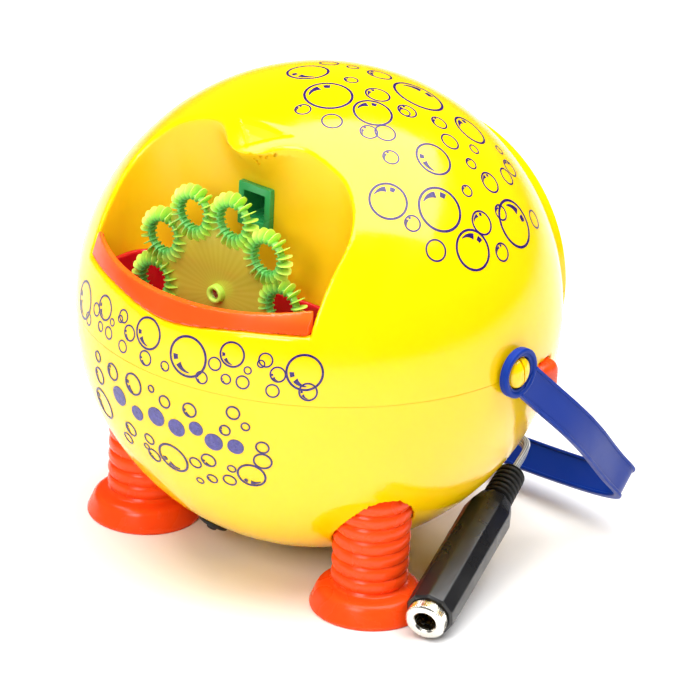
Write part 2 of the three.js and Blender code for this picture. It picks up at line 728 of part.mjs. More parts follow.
// ---------- feet ----------
function foot() {
  const profile = [
    [0, -CENTRE_HEIGHT],
    [FOOT_FLANGE - 0.6, -CENTRE_HEIGHT],
    [FOOT_FLANGE, -CENTRE_HEIGHT + 0.8],
    [FOOT_SHOULDER, -CENTRE_HEIGHT + FOOT_FLANGE_HEIGHT - 1],
    [FOOT_COLUMN, -CENTRE_HEIGHT + FOOT_FLANGE_HEIGHT],
  ];
  const firstRib = -CENTRE_HEIGHT + FOOT_FLANGE_HEIGHT;
  for (let i = 0; i < FOOT_RIBS; i++) {
    const z = firstRib + i * FOOT_RIB_PITCH;
    profile.push([FOOT_COLUMN - 1, z + 0.6], [FOOT_COLUMN, z + 2.2]);
  }
  profile.push([FOOT_COLUMN - 1, POCKET_ROOF - GAP], [0, POCKET_ROOF - GAP]);
  return turned("z", profile, 18);
}

Object.entries(FEET).forEach(([name, [x, y]]) => {
  add(machine, name, foot(), ORANGE).position.set(x, y, 0);
});

// ---------- handle and its pins ----------
// The handle's outline in its own plane: two arms that bend outwards, joined by a squarish bow.
function handleLine(offset) {
  const points = [];
  const span = HANDLE_HALF_SPAN + offset;
  const depth = HANDLE_REACH - HANDLE_STRAIGHT + offset;
  const armSteps = 9;
  for (let i = 0; i < armSteps; i++) {
    const along = i / armSteps;
    const bulge = HANDLE_BULGE * Math.sin(Math.PI * along) ** 2;
    points.push([span + bulge, HANDLE_STRAIGHT * along]);
  }
  const bowSteps = 12;
  for (let i = 0; i <= bowSteps; i++) {
    const angle = (i / bowSteps) * (Math.PI / 2);
    const across = Math.max(0, Math.cos(angle)) ** BOW_SQUARENESS;
    const out = Math.sin(angle) ** BOW_SQUARENESS;
    points.push([span * across, HANDLE_STRAIGHT + depth * out]);
  }
  const mirrored = points.slice(0, -1).reverse().map(([x, reach]) => [-x, reach]);
  return [...points, ...mirrored];
}

function handleBand(thickness, from, to) {
  const outline = [...handleLine(thickness / 2), ...handleLine(-thickness / 2).reverse()];
  const shape = new THREE.Shape(outline.map(([x, reach]) => new THREE.Vector2(x, reach)));
  return prismZ(shape, from, to);
}

function handle() {
  const half = STRAP_WIDTH / 2;
  let whole = join(
    handleBand(STRAP_THICKNESS, -half, half),
    handleBand(STRAP_RIM, -half, -half + RIM_WIDTH),
    handleBand(STRAP_RIM, half - RIM_WIDTH, half),
  );
  const inner = HANDLE_HALF_SPAN - STRAP_RIM / 2;
  const outer = HANDLE_HALF_SPAN + STRAP_RIM / 2;
  whole = join(
    whole,
    rod("x", EYE_RADIUS, inner, outer, 24),
    rod("x", EYE_RADIUS, -outer, -inner, 24),
  );
  return cut(whole, rod("x", EYE_HOLE, -FAR, FAR, 20));
}

const handleMesh = add(machine, "handle", handle(), BLUE);
handleMesh.position.set(0, 0, HANDLE_PIVOT_Z);
handleMesh.rotation.x = -radians(HANDLE_DROP);

function handlePin() {
  const head = join(
    rod("x", PIN_HEAD, BALL_RADIUS + GAP, 79.2, 16),
    rod("x", PIN_STEM, 66, BALL_RADIUS + 1, 12),
  );
  return cut(head, box([77, FAR], [-0.7, 0.7], [-9, 9]));
}

const rightPin = add(machine, "handle_pin_right", handlePin(), YELLOW);
rightPin.position.z = HANDLE_PIVOT_Z;
const leftPin = add(machine, "handle_pin_left", handlePin(), YELLOW);
leftPin.position.z = HANDLE_PIVOT_Z;
leftPin.rotation.z = Math.PI;

// ---------- power button and switch ----------
function roundedSquare(half, corner) {
  const shape = new THREE.Shape();
  [0, 1, 2, 3].forEach((quarter) => {
    const turn = (quarter * Math.PI) / 2;
    const middle = polar((half - corner) * Math.SQRT2, turn + Math.PI / 4);
    for (let i = 0; i <= 3; i++) {
      const point = polar(corner, turn + (i / 3) * (Math.PI / 2)).add(middle);
      if (quarter + i) shape.lineTo(point.x, point.y);
      else shape.moveTo(point.x, point.y);
    }
  });
  return shape;
}

function powerButton() {
  const bar = prismZ(roundedSquare(BUTTON_SIZE / 2, 2), BUTTON_INNER_X, BUTTON_OUTER_X - 1.2);
  const tip = prismZ(roundedSquare(BUTTON_SIZE / 2 - 1, 1.5), BUTTON_OUTER_X - 2, BUTTON_OUTER_X);
  return join(bar, tip).rotate([0, 90, 0]);
}

const button = add(machine, "power_button", powerButton(), ORANGE);
button.position.set(0, BUTTON_Y, BUTTON_Z);

const switchCase = box([-15.2, -4.2], [-5, 5], [-5, 5]);
const switchPlunger = box([-5, -2.9], [-2, 2], [-1.5, 1.5]);
const switchBody = add(machine, "switch_body", join(switchCase, switchPlunger), BLACK);
switchBody.position.set(BUTTON_INNER_X, BUTTON_Y, BUTTON_Z);

// ---------- drain plug under the ball ----------
function alongNormal(geometryAlongZ) {
  const normal = new THREE.Vector3(...PLUG_PLACE).normalize();
  const turn = new THREE.Quaternion().setFromUnitVectors(new THREE.Vector3(0, 0, 1), normal);
  return geometryAlongZ.applyQuaternion(turn);
}

function plugHole() {
  const geometry = new THREE.CylinderGeometry(3.4, 3.4, 20, 12).rotateX(Math.PI / 2);
  return solid(alongNormal(geometry.translate(0, 0, BALL_RADIUS)));
}

function drainPlug() {
  const radius = BALL_RADIUS + GAP;
  const profile = [
    [0, radius - 4.5],
    [2.6, radius - 4.5],
    [3.1, radius - 3.5],
    [3.1, radius],
    [4.6, radius],
    [4.6, radius + 1.3],
    [1.6, radius + 1.6],
    [1.6, radius + 2.6],
    [0, radius + 2.6],
  ];
  const points = profile.map(([r, z]) => new THREE.Vector2(r, z));
  return solid(alongNormal(new THREE.LatheGeometry(points, 14).rotateX(Math.PI / 2)));
}

add(machine, "drain_plug", drainPlug(), RUBBER);

// ---------- lead gland ----------
// A stem through the cover between two flanges, with a short taper outside.
function leadGland() {
  const stem = rod("y", 2.9, COVER_INNER - 1.5, DRUM_FACE + 0.5, 14);
  const outerFlange = rod("y", 4.3, DRUM_FACE + GAP, DRUM_FACE + 1.5, 16);
  const innerFlange = rod("y", 4.1, COVER_INNER - 2.5, COVER_INNER - GAP, 16);
  const taper = [
    [0, 1],
    [3.4, 1],
    [2.7, 3.5],
    [0, 3.5],
  ];
  return join(
    stem,
    outerFlange,
    innerFlange,
    turned("y", taper, 14).translate(0, DRUM_FACE, 0),
  );
}

const gland = add(machine, "lead_gland", leadGland(), RUBBER);
gland.position.set(GLAND[0], 0, GLAND[2]);

// ---------- inline socket ----------
const socket = new THREE.Group();
socket.position.set(...SOCKET_FACE);
socket.rotation.order = "ZXY";
socket.rotation.z = radians(SOCKET_YAW);
socket.rotation.x = radians(SOCKET_PITCH);
lead.add(socket);

const RING_LENGTH = 3.6;
const RING_RADIUS = 6.3;
const SOCKET_BODY_START = RING_LENGTH + GAP;
const SOCKET_BODY_END = 60;
const SLEEVE_RADIUS = 4.6;
const SLEEVE_END = 34;
const RELIEF_END = 75;
const RELIEF_RADIUS = 4.9;
const RELIEF_TAIL = 2.3;
const SOCKET_CORE = SLEEVE_RADIUS + GAP;
const SOCKET_TAIL = RELIEF_TAIL + GAP;

const ringProfile = [
  [SOCKET_HOLE, 0],
  [RING_RADIUS - 0.4, 0],
  [RING_RADIUS, 0.5],
  [RING_RADIUS, RING_LENGTH],
  [SOCKET_HOLE, RING_LENGTH],
  [SOCKET_HOLE, 0],
];
add(socket, "socket_ring", turned("y", ringProfile, 24), NICKEL);

const sleeveProfile = [
  [SOCKET_HOLE, SOCKET_BODY_START],
  [SLEEVE_RADIUS, SOCKET_BODY_START],
  [SLEEVE_RADIUS, SLEEVE_END],
  [SOCKET_HOLE, SLEEVE_END],
  [SOCKET_HOLE, SOCKET_BODY_START],
];
add(socket, "socket_sleeve", turned("y", sleeveProfile, 16), BRASS);

const bodyProfile = [
  [SOCKET_CORE, SOCKET_BODY_START],
  [SOCKET_BODY_RADIUS - 0.8, SOCKET_BODY_START],
  [SOCKET_BODY_RADIUS, SOCKET_BODY_START + 1.1],
  [SOCKET_BODY_RADIUS, SOCKET_BODY_END - 6],
  [5.4, SOCKET_BODY_END],
  [SOCKET_TAIL, SOCKET_BODY_END],
  [SOCKET_TAIL, SLEEVE_END + 2],
  [SOCKET_CORE, SLEEVE_END + 2],
  [SOCKET_CORE, SOCKET_BODY_START],
];
add(socket, "socket_body", turned("y", bodyProfile, 12), BLACK);

// Rubber sleeve with grooves across it; its tail is held inside the socket's body.
function strainRelief() {
  const start = SOCKET_BODY_END + GAP;
  const groove = RELIEF_RADIUS - 0.7;
  const profile = [
    [0, SOCKET_BODY_END - 8],
    [RELIEF_TAIL, SOCKET_BODY_END - 8],
    [RELIEF_TAIL, start],
    [RELIEF_RADIUS, start],
  ];
  for (let y = SOCKET_BODY_END + 2; y < RELIEF_END - 2; y += 4) {
    profile.push([RELIEF_RADIUS, y], [groove, y + 0.5], [groove, y + 1.3], [RELIEF_RADIUS, y + 1.8]);
  }
  profile.push([RELIEF_RADIUS - 0.3, RELIEF_END], [0, RELIEF_END]);
  return turned("y", profile, 12);
}

add(socket, "socket_strain_relief", strainRelief(), RUBBER);

// ---------- lead ----------
const LEAD_SIDES = 8;
const LEAD_STEPS = 30;

function leadSolid() {
  const route = LEAD_ROUTE.map((point) => new THREE.Vector3(...point));
  const corner = 1 / Math.cos(Math.PI / LEAD_SIDES); // so that the flats are the size named
  const section = new THREE.Shape();
  for (let i = 0; i < LEAD_SIDES; i++) {
    const angle = ((i + 0.5) * 2 * Math.PI) / LEAD_SIDES;
    const x = (LEAD_THICKNESS / 2) * corner * Math.cos(angle);
    const y = (LEAD_WIDTH / 2) * corner * Math.sin(angle);
    if (i) section.lineTo(x, y);
    else section.moveTo(x, y);
  }
  const options = {
    steps: LEAD_STEPS,
    extrudePath: new THREE.CatmullRomCurve3(route),
    bevelEnabled: false,
  };
  return solid(new THREE.ExtrudeGeometry(section, options));
}

add(lead, "switch_lead", leadSolid(), LEAD_GREY);

const bubbleMachine = new THREE.Group();
machine.add(lead);
machine.position.set(0, CENTRE_Y, CENTRE_HEIGHT);
bubbleMachine.add(machine);

export default bubbleMachine;
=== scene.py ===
"""The looks of the ball-shaped bubble machine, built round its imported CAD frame.

Shapes are worked out in millimetres from the ball's centre, with +Z up and the front facing -Y,
and are turned into the row frame's metres when a mesh is made.
"""

import math

import bmesh
import bpy
import numpy as np
from mathutils import Matrix, Vector


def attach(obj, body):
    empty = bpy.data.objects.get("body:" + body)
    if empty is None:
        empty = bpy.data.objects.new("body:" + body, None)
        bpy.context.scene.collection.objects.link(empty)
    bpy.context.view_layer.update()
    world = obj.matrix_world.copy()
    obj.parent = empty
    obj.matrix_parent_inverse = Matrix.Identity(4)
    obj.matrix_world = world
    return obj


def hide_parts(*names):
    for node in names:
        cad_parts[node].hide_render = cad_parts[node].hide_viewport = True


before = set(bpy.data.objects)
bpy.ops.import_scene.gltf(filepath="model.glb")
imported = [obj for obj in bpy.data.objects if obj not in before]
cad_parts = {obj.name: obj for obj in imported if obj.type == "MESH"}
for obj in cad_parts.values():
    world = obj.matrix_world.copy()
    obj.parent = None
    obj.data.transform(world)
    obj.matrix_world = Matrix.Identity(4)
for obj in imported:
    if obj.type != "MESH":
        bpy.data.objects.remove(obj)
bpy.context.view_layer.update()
scene = bpy.context.scene

# ---------- driving dimensions, in millimetres ----------
CENTRE = np.array([0, -1.55, 77.5])  # the ball's centre in the row frame
BALL = 74.9
WALL = 2.0
PART_GAP = 0.12  # half the gap at the equator
LOWER_INSET = 0.12  # the lower shell's skin lies this far inside the upper one's
DRUM = 47.5
DRUM_FACE = 63.6
DRUM_CUT = 60.2  # the shell ends here, and the drum's rim ring goes on
COVER = 45
SEAT_INNER = 36  # inner edge of the seat that the cover screws to
COVER_BACK = 61.3

CHAMBER_HALF = 42.5
CHAMBER_BACK = -31.5
CHAMBER_CORNER = 13
TRAY_ROOM = 72.4  # radius of the space for the tray, inside the front skin
TRAY_ROOM_FLOOR = -19.5
TONGUE_REACH = 11.6
TONGUE_WIDTH = 10.6
TONGUE_SPAN = (44, 62.5)  # height where the tongue starts to swell, and its edge
LIP_OUTER = 74.85
LIP_INNER = 66.4
LIP_END = -54.6  # the high front lip drops to the side rim behind this
SIDE_RIM = 18
BASIN_OUTER = 69
BASIN_FLOOR = -18

AXIS_Z = 18.7  # wheel, motor and fan
WHEEL_Y = -48.3
RINGS = 10
RING_PITCH = 25
FIRST_RING = 11
NOZZLE_Z = 42
SHAFT_HOLE = 2.2
PIN_HOLE = 3.4
PLUG_HOLE = 3.4
GLAND_ROOM = 4.6

FEET = {"foot_left": (-45.6, -26.3), "foot_right": (45.6, -26.3), "foot_rear": (0, 46)}
FOOT_COLUMN = 11.9
POCKET = 11.95
POCKET_ROOF = -36.6

PIVOT_Z = 1.9
HANDLE_DROP = 43
HANDLE_SPAN = 77
HANDLE_STRAIGHT = 80
HANDLE_REACH = 100.4
HANDLE_BULGE = 4
PIN_SLOT_LEAN = math.radians(98)
PIN_HALF_SLOT = 0.32
BOW_SQUARENESS = 0.8  # 1 is an oval, and less is squarer

BUTTON = (75, 19.6, -7.6)  # middle of its outer face
BUTTON_HALF = 5.2
PLUG_PLACE = (-10.8, -33, -66.5)
GLAND = (-33, DRUM_FACE, -10)
SOCKET_FACE = np.array([73.3, -34.2, -70.7])
SOCKET_YAW = 17.3
SOCKET_PITCH = 13.8
SOCKET_BODY = 7.8
KNURLS = 54

CELLS_Z = -18.3
DOOR_HALF = 15.6

# ---------- camera ----------
CAMERA_AZIMUTH = 38.06
CAMERA_ELEVATION = 24.29
CAMERA_ROLL = 3.009
CAMERA_DISTANCE = 1.35
CAMERA_ASIDE = (0.00944, -0.0142)  # the ball sits left of and above the middle of the frame
CAMERA_LENS = 225.85


def make_camera():
    azimuth, elevation, roll = map(math.radians, (CAMERA_AZIMUTH, CAMERA_ELEVATION, CAMERA_ROLL))
    back = Vector((
        math.sin(azimuth) * math.cos(elevation),
        -math.cos(azimuth) * math.cos(elevation),
        math.sin(elevation),
    ))
    right = Vector((math.cos(azimuth), math.sin(azimuth), 0))
    up = back.cross(right)
    across = right * math.cos(roll) + up * math.sin(roll)
    upward = up * math.cos(roll) - right * math.sin(roll)
    data = bpy.data.cameras.new("camera")
    data.lens = CAMERA_LENS
    data.clip_start, data.clip_end = 0.05, 50
    camera = bpy.data.objects.new("camera", data)
    scene.collection.objects.link(camera)
    place = Vector(CENTRE / 1000) + back * CAMERA_DISTANCE
    place += across * CAMERA_ASIDE[0] + upward * CAMERA_ASIDE[1]
    turn = Matrix((across, upward, back)).transposed().to_4x4()
    camera.matrix_world = Matrix.Translation(place) @ turn
    scene.camera = camera


make_camera()


# ---------- materials ----------
def colour(red, green, blue):
    """A linear colour from one on the usual 0 to 255 scale."""
    def linear(value):
        value /= 255
        return value / 12.92 if value <= 0.04045 else ((value + 0.055) / 1.055) ** 2.4
    return (linear(red), linear(green), linear(blue), 1)


def scaled(tint, factor):
    return tuple(min(1, channel * factor) for channel in tint[:3]) + (1,)


class Nodes:
    """The node tree of a new material or world, with short ways to add to it."""

    def __init__(self, name, world=False):
        self.material = (bpy.data.worlds if world else bpy.data.materials).new(name)
        self.material.use_nodes = True
        self.tree = self.material.node_tree
        self.shader = self.tree.nodes["Background" if world else "Principled BSDF"]
        self.place = self.add("ShaderNodeTexCoord").outputs["Generated" if world else "Object"]

    def add(self, kind, inputs=None, **settings):
        node = self.tree.nodes.new(kind)
        for name, value in settings.items():
            setattr(node, name, value)
        for name, value in (inputs or {}).items():
            self.feed(node.inputs[name], value)
        return node

    def feed(self, socket, value):
        if isinstance(value, bpy.types.NodeSocket):
            self.tree.links.new(value, socket)
        else:
            socket.default_value = value

    def noise(self, scale, detail=3, distortion=0):
        inputs = {"Vector": self.place, "Scale": scale, "Detail": detail, "Distortion": distortion}
        return self.add("ShaderNodeTexNoise", inputs).outputs["Fac"]

    def math(self, operation, *values):
        node = self.add("ShaderNodeMath", operation=operation)
        for socket, value in zip(node.inputs, values):
            self.feed(socket, value)
        return node.outputs[0]

    def ranged(self, value, low, high, out_low=0, out_high=1, steps="SMOOTHSTEP"):
        inputs = {"Value": value, "From Min": low, "From Max": high}
        inputs |= {"To Min": out_low, "To Max": out_high}
        return self.add("ShaderNodeMapRange", inputs, interpolation_type=steps).outputs[0]

    def mix(self, factor, first, second):
        node = self.add("ShaderNodeMix", data_type="RGBA")
        self.feed(node.inputs[0], factor)
        self.feed(node.inputs[6], first)
        self.feed(node.inputs[7], second)
        return node.outputs[2]

    def bump(self, height, distance, strength=1, normal=None):
        inputs = {"Height": height, "Distance": distance, "Strength": strength}
        if normal is not None:
            inputs["Normal"] = normal
        return self.add("ShaderNodeBump", inputs).outputs["Normal"]

    def set(self, **values):
        for name, value in values.items():
            self.feed(self.shader.inputs[name.replace("_", " ")], value)


def moulded(name, rough, grain=0.03, coat=0.0, through=0.0):
    """Injection-moulded plastic without its colour: handling marks in the gloss, and a fine skin."""
    nodes = Nodes(name)
    nodes.smears = nodes.ranged(nodes.noise(90, 6, 0.6), 0.35, 0.7, *rough)
    skin = nodes.bump(nodes.noise(1400, 2), 0.00005, grain * 4)
    waviness = nodes.bump(nodes.noise(60, 2), 0.0004, grain, skin)
    nodes.set(Roughness=nodes.smears, Normal=waviness, IOR=1.5, Coat_Weight=coat, Coat_Roughness=0.06)
    if through:
        nodes.set(Subsurface_Weight=through, Subsurface_Scale=0.004)
    return nodes


def plastic(name, tint, rough=(0.16, 0.26), amount=0.04, *finish):
    """Moulded plastic in one colour, with a painted highlight that makes edges a little paler, and
    cloudier over broad areas.
    """
    nodes = moulded(name, rough, *finish)
    # painted highlight: edges found by pointiness are mixed towards a paler tint in place of light
    # caught on rims and corners
    edge = nodes.ranged(nodes.add("ShaderNodeNewGeometry").outputs["Pointiness"], 0.52, 0.62)
    patches = nodes.ranged(nodes.noise(35, 4), 0.3, 0.7)
    clouded = nodes.mix(patches, scaled(tint, 1 - amount), scaled(tint, 1 + amount / 2))
    nodes.set(Base_Color=nodes.mix(nodes.math("MULTIPLY", edge, 0.35), clouded, scaled(tint, 1.35)))
    return nodes


def metal(name, tint, rough=(0.15, 0.35), brushed=700):
    nodes = Nodes(name)
    tone = nodes.ranged(nodes.noise(60, 4), 0.3, 0.7)
    base = nodes.mix(tone, scaled(tint, 0.82), tint)
    streaks = nodes.noise(brushed, 5, 0.4)
    nodes.set(Base_Color=base, Metallic=1, Roughness=nodes.ranged(streaks, 0.3, 0.7, *rough))
    nodes.set(Normal=nodes.bump(streaks, 0.00003, 0.4))
    return nodes.material


YELLOW = colour(255, 204, 0)
# painted shade: a slightly more orange copy of the yellow for the surfaces inside the ball, such as the
# chamber
YELLOW_SHADED_INSIDE = colour(255, 200, 8)
ORANGE = colour(250, 76, 20)


def yellow_plastic():
    """Polished outside, and matt on everything inside the ball, where a slightly more orange yellow is
    painted shade.
    """
    nodes = moulded("yellow_plastic", (0.1, 0.18), 0.012, 0, 0.2)
    middle = tuple(CENTRE / 1000)
    apart = nodes.add("ShaderNodeVectorMath", {0: nodes.place, 1: middle}, operation="DISTANCE")
    outside = nodes.ranged(apart.outputs["Value"], 0.0735, 0.0743)
    matt = nodes.ranged(nodes.noise(140, 4), 0.35, 0.7, 0.4, 0.5)
    span = nodes.math("MULTIPLY", nodes.math("SUBTRACT", nodes.smears, matt), outside)
    nodes.set(Roughness=nodes.math("ADD", matt, span), Specular_IOR_Level=0.5)
    patches = nodes.ranged(nodes.noise(35, 4), 0.3, 0.7)
    # the inside colour is painted shade
    inner = nodes.mix(patches, scaled(YELLOW_SHADED_INSIDE, 0.97), YELLOW_SHADED_INSIDE)
    outer = nodes.mix(patches, scaled(YELLOW, 0.98), YELLOW)
    nodes.set(Base_Color=nodes.mix(outside, inner, outer))
    return nodes.material


def duller(nodes, level):
    """The material, with its reflections turned down to a level below the usual 0.5."""
    nodes.set(Specular_IOR_Level=level)
    return nodes.material


def tray_plastic():
    """Orange outside, with a painted highlight that makes the lip paler along its top, and a deeper red
    in the wet basin.
    """
    nodes = moulded("tray_plastic", (0.14, 0.26), 0.02, 0.2, 0.15)
    axes = nodes.add("ShaderNodeSeparateXYZ", {"Vector": nodes.place}).outputs
    across = nodes.math("MULTIPLY", axes["X"], 1000)
    along = nodes.math("MULTIPLY_ADD", axes["Y"], 1000, -CENTRE[1])
    distance = nodes.math("SQRT", nodes.math(
        "ADD", nodes.math("MULTIPLY", across, across), nodes.math("MULTIPLY", along, along)))
    outside = nodes.ranged(distance, 68.2, 68.9)
    # painted highlight: the lip turns a paler orange towards its upper edge, in place of light on its
    # top face
    lip_top_highlight = nodes.ranged(axes["Z"], (CENTRE[2] + 23) / 1000, (CENTRE[2] + 27) / 1000)
    lip = nodes.mix(lip_top_highlight, colour(255, 78, 20), colour(255, 100, 24))
    wetness = nodes.ranged(nodes.noise(45, 4), 0.35, 0.65)
    basin = nodes.mix(wetness, colour(205, 16, 34), colour(232, 30, 40))
    nodes.set(Base_Color=nodes.mix(outside, basin, lip))
    return nodes.material


def wheel_plastic():
    """Lime, with a painted highlight that makes the tips of the fins paler, and painted shade that
    makes them darker and greener down between them.
    """
    nodes = moulded("wheel_plastic", (0.28, 0.42), 0.05, 0, 0.25)
    # painted shade at the roots of the fins and a painted highlight at their tips, mixed by the share
    # of the way out along each fin
    depth = nodes.add("ShaderNodeAttribute", attribute_name="fin_tip_highlight").outputs["Fac"]
    patches = nodes.ranged(nodes.noise(120, 3), 0.3, 0.7)
    fin_tip_highlight = nodes.mix(patches, colour(182, 236, 74), colour(204, 248, 100))
    nodes.set(Base_Color=nodes.mix(depth, colour(96, 190, 92), fin_tip_highlight), Subsurface_Radius=(0.6, 1, 0.25))
    return nodes.material


def web_plastic():
    """The thin see-through middle of the wheel, with faint flow lines from the hub, coloured
    olive-yellow: lime plastic with painted shade and a painted reflection of the yellow chamber.
    """
    nodes = moulded("web_plastic", (0.3, 0.45), 0.05)
    axes = nodes.add("ShaderNodeSeparateXYZ", {"Vector": nodes.place}).outputs
    height = nodes.math("SUBTRACT", axes["Z"], (CENTRE[2] + AXIS_Z) / 1000)
    angle = nodes.math("ARCTAN2", axes["X"], height)
    lines = nodes.math("SINE", nodes.math("MULTIPLY", angle, 40))
    flow = nodes.ranged(nodes.math("ADD", lines, nodes.noise(200, 4)), -1, 2)
    # painted shade and painted reflection: the olive-yellow stands for lime plastic in shadow that
    # takes on the yellow of the chamber
    nodes.set(Base_Color=nodes.mix(flow, colour(206, 200, 62), colour(214, 210, 74)), Alpha=0.62)
    return nodes.material


def rubber(name, tint, rough=(0.55, 0.75)):
    nodes = Nodes(name)
    grain = nodes.noise(2600, 3)
    dust = nodes.ranged(nodes.noise(220, 5), 0.5, 0.72, 0, 0.25)
    nodes.set(Base_Color=nodes.mix(dust, tint, colour(92, 90, 86)))
    nodes.set(Roughness=nodes.ranged(nodes.noise(140, 4), 0.3, 0.7, *rough))
    nodes.set(Normal=nodes.bump(grain, 0.00006, 0.5))
    return nodes.material


def lead_plastic():
    """Clear grey twin lead over bright strands that show as fine lines along it."""
    nodes = moulded("lead_plastic", (0.2, 0.32), 0.03, 0.3)
    strand = nodes.add("ShaderNodeAttribute", attribute_name="around").outputs["Fac"]
    lines = nodes.math("SINE", nodes.math("MULTIPLY", strand, 90))
    base = nodes.mix(nodes.ranged(lines, -1, 1), colour(118, 124, 132), colour(186, 190, 196))
    nodes.set(Base_Color=base)
    return nodes.material


def print_ink(name, tint):
    """Screen-printed ink, slightly uneven."""
    nodes = Nodes(name)
    cover = nodes.ranged(nodes.noise(900, 4), 0.35, 0.6)
    nodes.set(Base_Color=nodes.mix(cover, scaled(tint, 1.5), tint))
    nodes.set(Roughness=nodes.ranged(nodes.noise(500, 3), 0.3, 0.7, 0.2, 0.35))
    return nodes.material


def jacket_print():
    """A battery's printed sleeve: dark, with a copper-coloured band at its cap end."""
    nodes = moulded("cell_jacket", (0.2, 0.35), 0.02)
    along = nodes.add("ShaderNodeSeparateXYZ", {"Vector": nodes.place}).outputs["Y"]
    band = nodes.ranged(along, 0.044, 0.0441)
    nodes.set(Base_Color=nodes.mix(band, colour(40, 44, 52), colour(186, 116, 62)))
    return nodes.material


MATERIAL = {
    "yellow": yellow_plastic(),
    "orange": duller(plastic("orange_plastic", ORANGE, (0.2, 0.32), 0.05, 0.03, 0, 0.15), 0.25),
    "tray": tray_plastic(),
    "wheel": wheel_plastic(),
    "web": web_plastic(),
    "green": plastic("green_plastic", colour(46, 158, 84), (0.2, 0.32), 0.06, 0.03, 0.1, 0.1).material,
    "blue": duller(plastic("blue_plastic", colour(10, 48, 140), (0.3, 0.42), 0.08, 0.025), 0.12),
    "white": plastic("white_plastic", colour(228, 226, 214), (0.35, 0.5), 0.04, 0.04).material,
    "grey": plastic("grey_plastic", colour(112, 117, 124), (0.35, 0.5), 0.05, 0.04).material,
    "black": plastic("black_plastic", colour(26, 26, 28), (0.26, 0.4), 0.1, 0.05, 0.05).material,
    "rubber": rubber("black_rubber", colour(22, 22, 23)),
    "steel": metal("steel", colour(190, 192, 196)),
    "nickel": metal("nickel", colour(250, 247, 238), (0.16, 0.3)),
    "brass": metal("brass", colour(205, 168, 88)),
    "lead": lead_plastic(),
    "ink": print_ink("ink", colour(36, 18, 88)),
    "ink_fill": print_ink("ink_fill", colour(62, 58, 122)),
    "jacket": jacket_print(),
}


# ---------- mesh tools ----------
def finish_mesh(name, bm, material, sharp_angle):
    """A mesh object from a bmesh in millimetres from the ball's centre."""
    bmesh.ops.recalc_face_normals(bm, faces=bm.faces)
    bm.transform(Matrix.Translation(Vector(CENTRE / 1000)) @ Matrix.Scale(0.001, 4))
    mesh = bpy.data.meshes.new(name)
    bm.to_mesh(mesh)
    bm.free()
    mesh.shade_smooth()
    mesh.set_sharp_from_angle(angle=math.radians(sharp_angle))
    mesh.materials.append(MATERIAL[material])
    obj = bpy.data.objects.new(name, mesh)
    scene.collection.objects.link(obj)
    return obj


def add_parts(bm, parts):
    """Adds a list of (points, faces)."""
    for points, faces in parts:
        made = [bm.verts.new(point) for point in np.asarray(points, float)]
        for face in faces:
            bm.faces.new([made[i] for i in face])
    return bm


def to_bmesh(parts):
    return add_parts(bmesh.new(), parts)


def build(name, parts, material, sharp_angle=40):
    return finish_mesh(name, to_bmesh(parts), material, sharp_angle)


def polar(radius, angle):
    return radius * math.cos(angle), radius * math.sin(angle)


def turns(count):
    """Equal steps of a full turn, in radians."""
    return [2 * math.pi * i / count for i in range(count)]


def settle(obj, body, *nodes, slot=None):
    """Rides on a body and stands for CAD nodes; its slot argument is not used."""
    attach(obj, body)
    if nodes:
        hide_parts(*nodes)
    return obj


def piece(node, parts, material, sharp_angle, slot, body="housing"):
    """The detailed piece that stands for one CAD node."""
    return settle(build(node + "_body", parts, material, sharp_angle), body, node, slot=slot)


def spun(angle):
    """The matrix of a turn about Z."""
    c, s = math.cos(angle), math.sin(angle)
    return np.array([[c, -s, 0], [s, c, 0], [0, 0, 1]])


AXES = {
    "x": np.array([[0, 0, 1], [0, 1, 0], [-1, 0, 0]]),
    "y": np.array([[1, 0, 0], [0, 0, 1], [0, -1, 0]]),
    "z": np.eye(3),
}


def placed(part, axis="z", at=(0, 0, 0)):
    """A part made along +Z, turned to lie along an axis or by a 3 by 3 matrix, and moved."""
    points, faces = part
    turn = AXES[axis] if isinstance(axis, str) else np.asarray(axis)
    return np.asarray(points) @ turn.T + np.asarray(at), faces


def lathe(profile, sides=64, wobble=None):
    """Turns a profile of (radius, along), which starts and ends on the axis or closes on itself."""
    points, faces, rings = [], [], []
    closed = profile[0][0] > 0
    for radius, along in profile:
        start = len(points)
        if radius <= 0:
            points.append((0, 0, along))
            rings.append([start])
            continue
        for i, angle in enumerate(turns(sides)):
            reach = radius * (wobble(i, radius, along) if wobble else 1)
            points.append((*polar(reach, angle), along))
        rings.append(list(range(start, start + sides)))
    pairs = list(zip(rings, rings[1:]))
    if closed:
        pairs.append((rings[-1], rings[0]))
    for first, second in pairs:
        for i in range(sides):
            j = (i + 1) % sides
            corners = [first[i % len(first)], first[j % len(first)]]
            corners += [second[j % len(second)], second[i % len(second)]]
            face = list(dict.fromkeys(corners))
            if len(face) > 2:
                faces.append(face)
    return np.array(points, float), faces


def loft(loops, closed=False):
    """Skins a row of equal loops, joining the last to the first or capping both ends."""
    count = len(loops[0])
    points = np.concatenate([np.asarray(loop, float) for loop in loops])
    faces = []
    spans = len(loops) if closed else len(loops) - 1
    for k in range(spans):
        a, b = k * count, (k + 1) % len(loops) * count
        for i in range(count):
            j = (i + 1) % count
            faces.append([a + i, a + j, b + j, b + i])
    if not closed:
        faces.append(list(range(count))[::-1])
        faces.append(list(range((len(loops) - 1) * count, len(loops) * count)))
    return points, faces


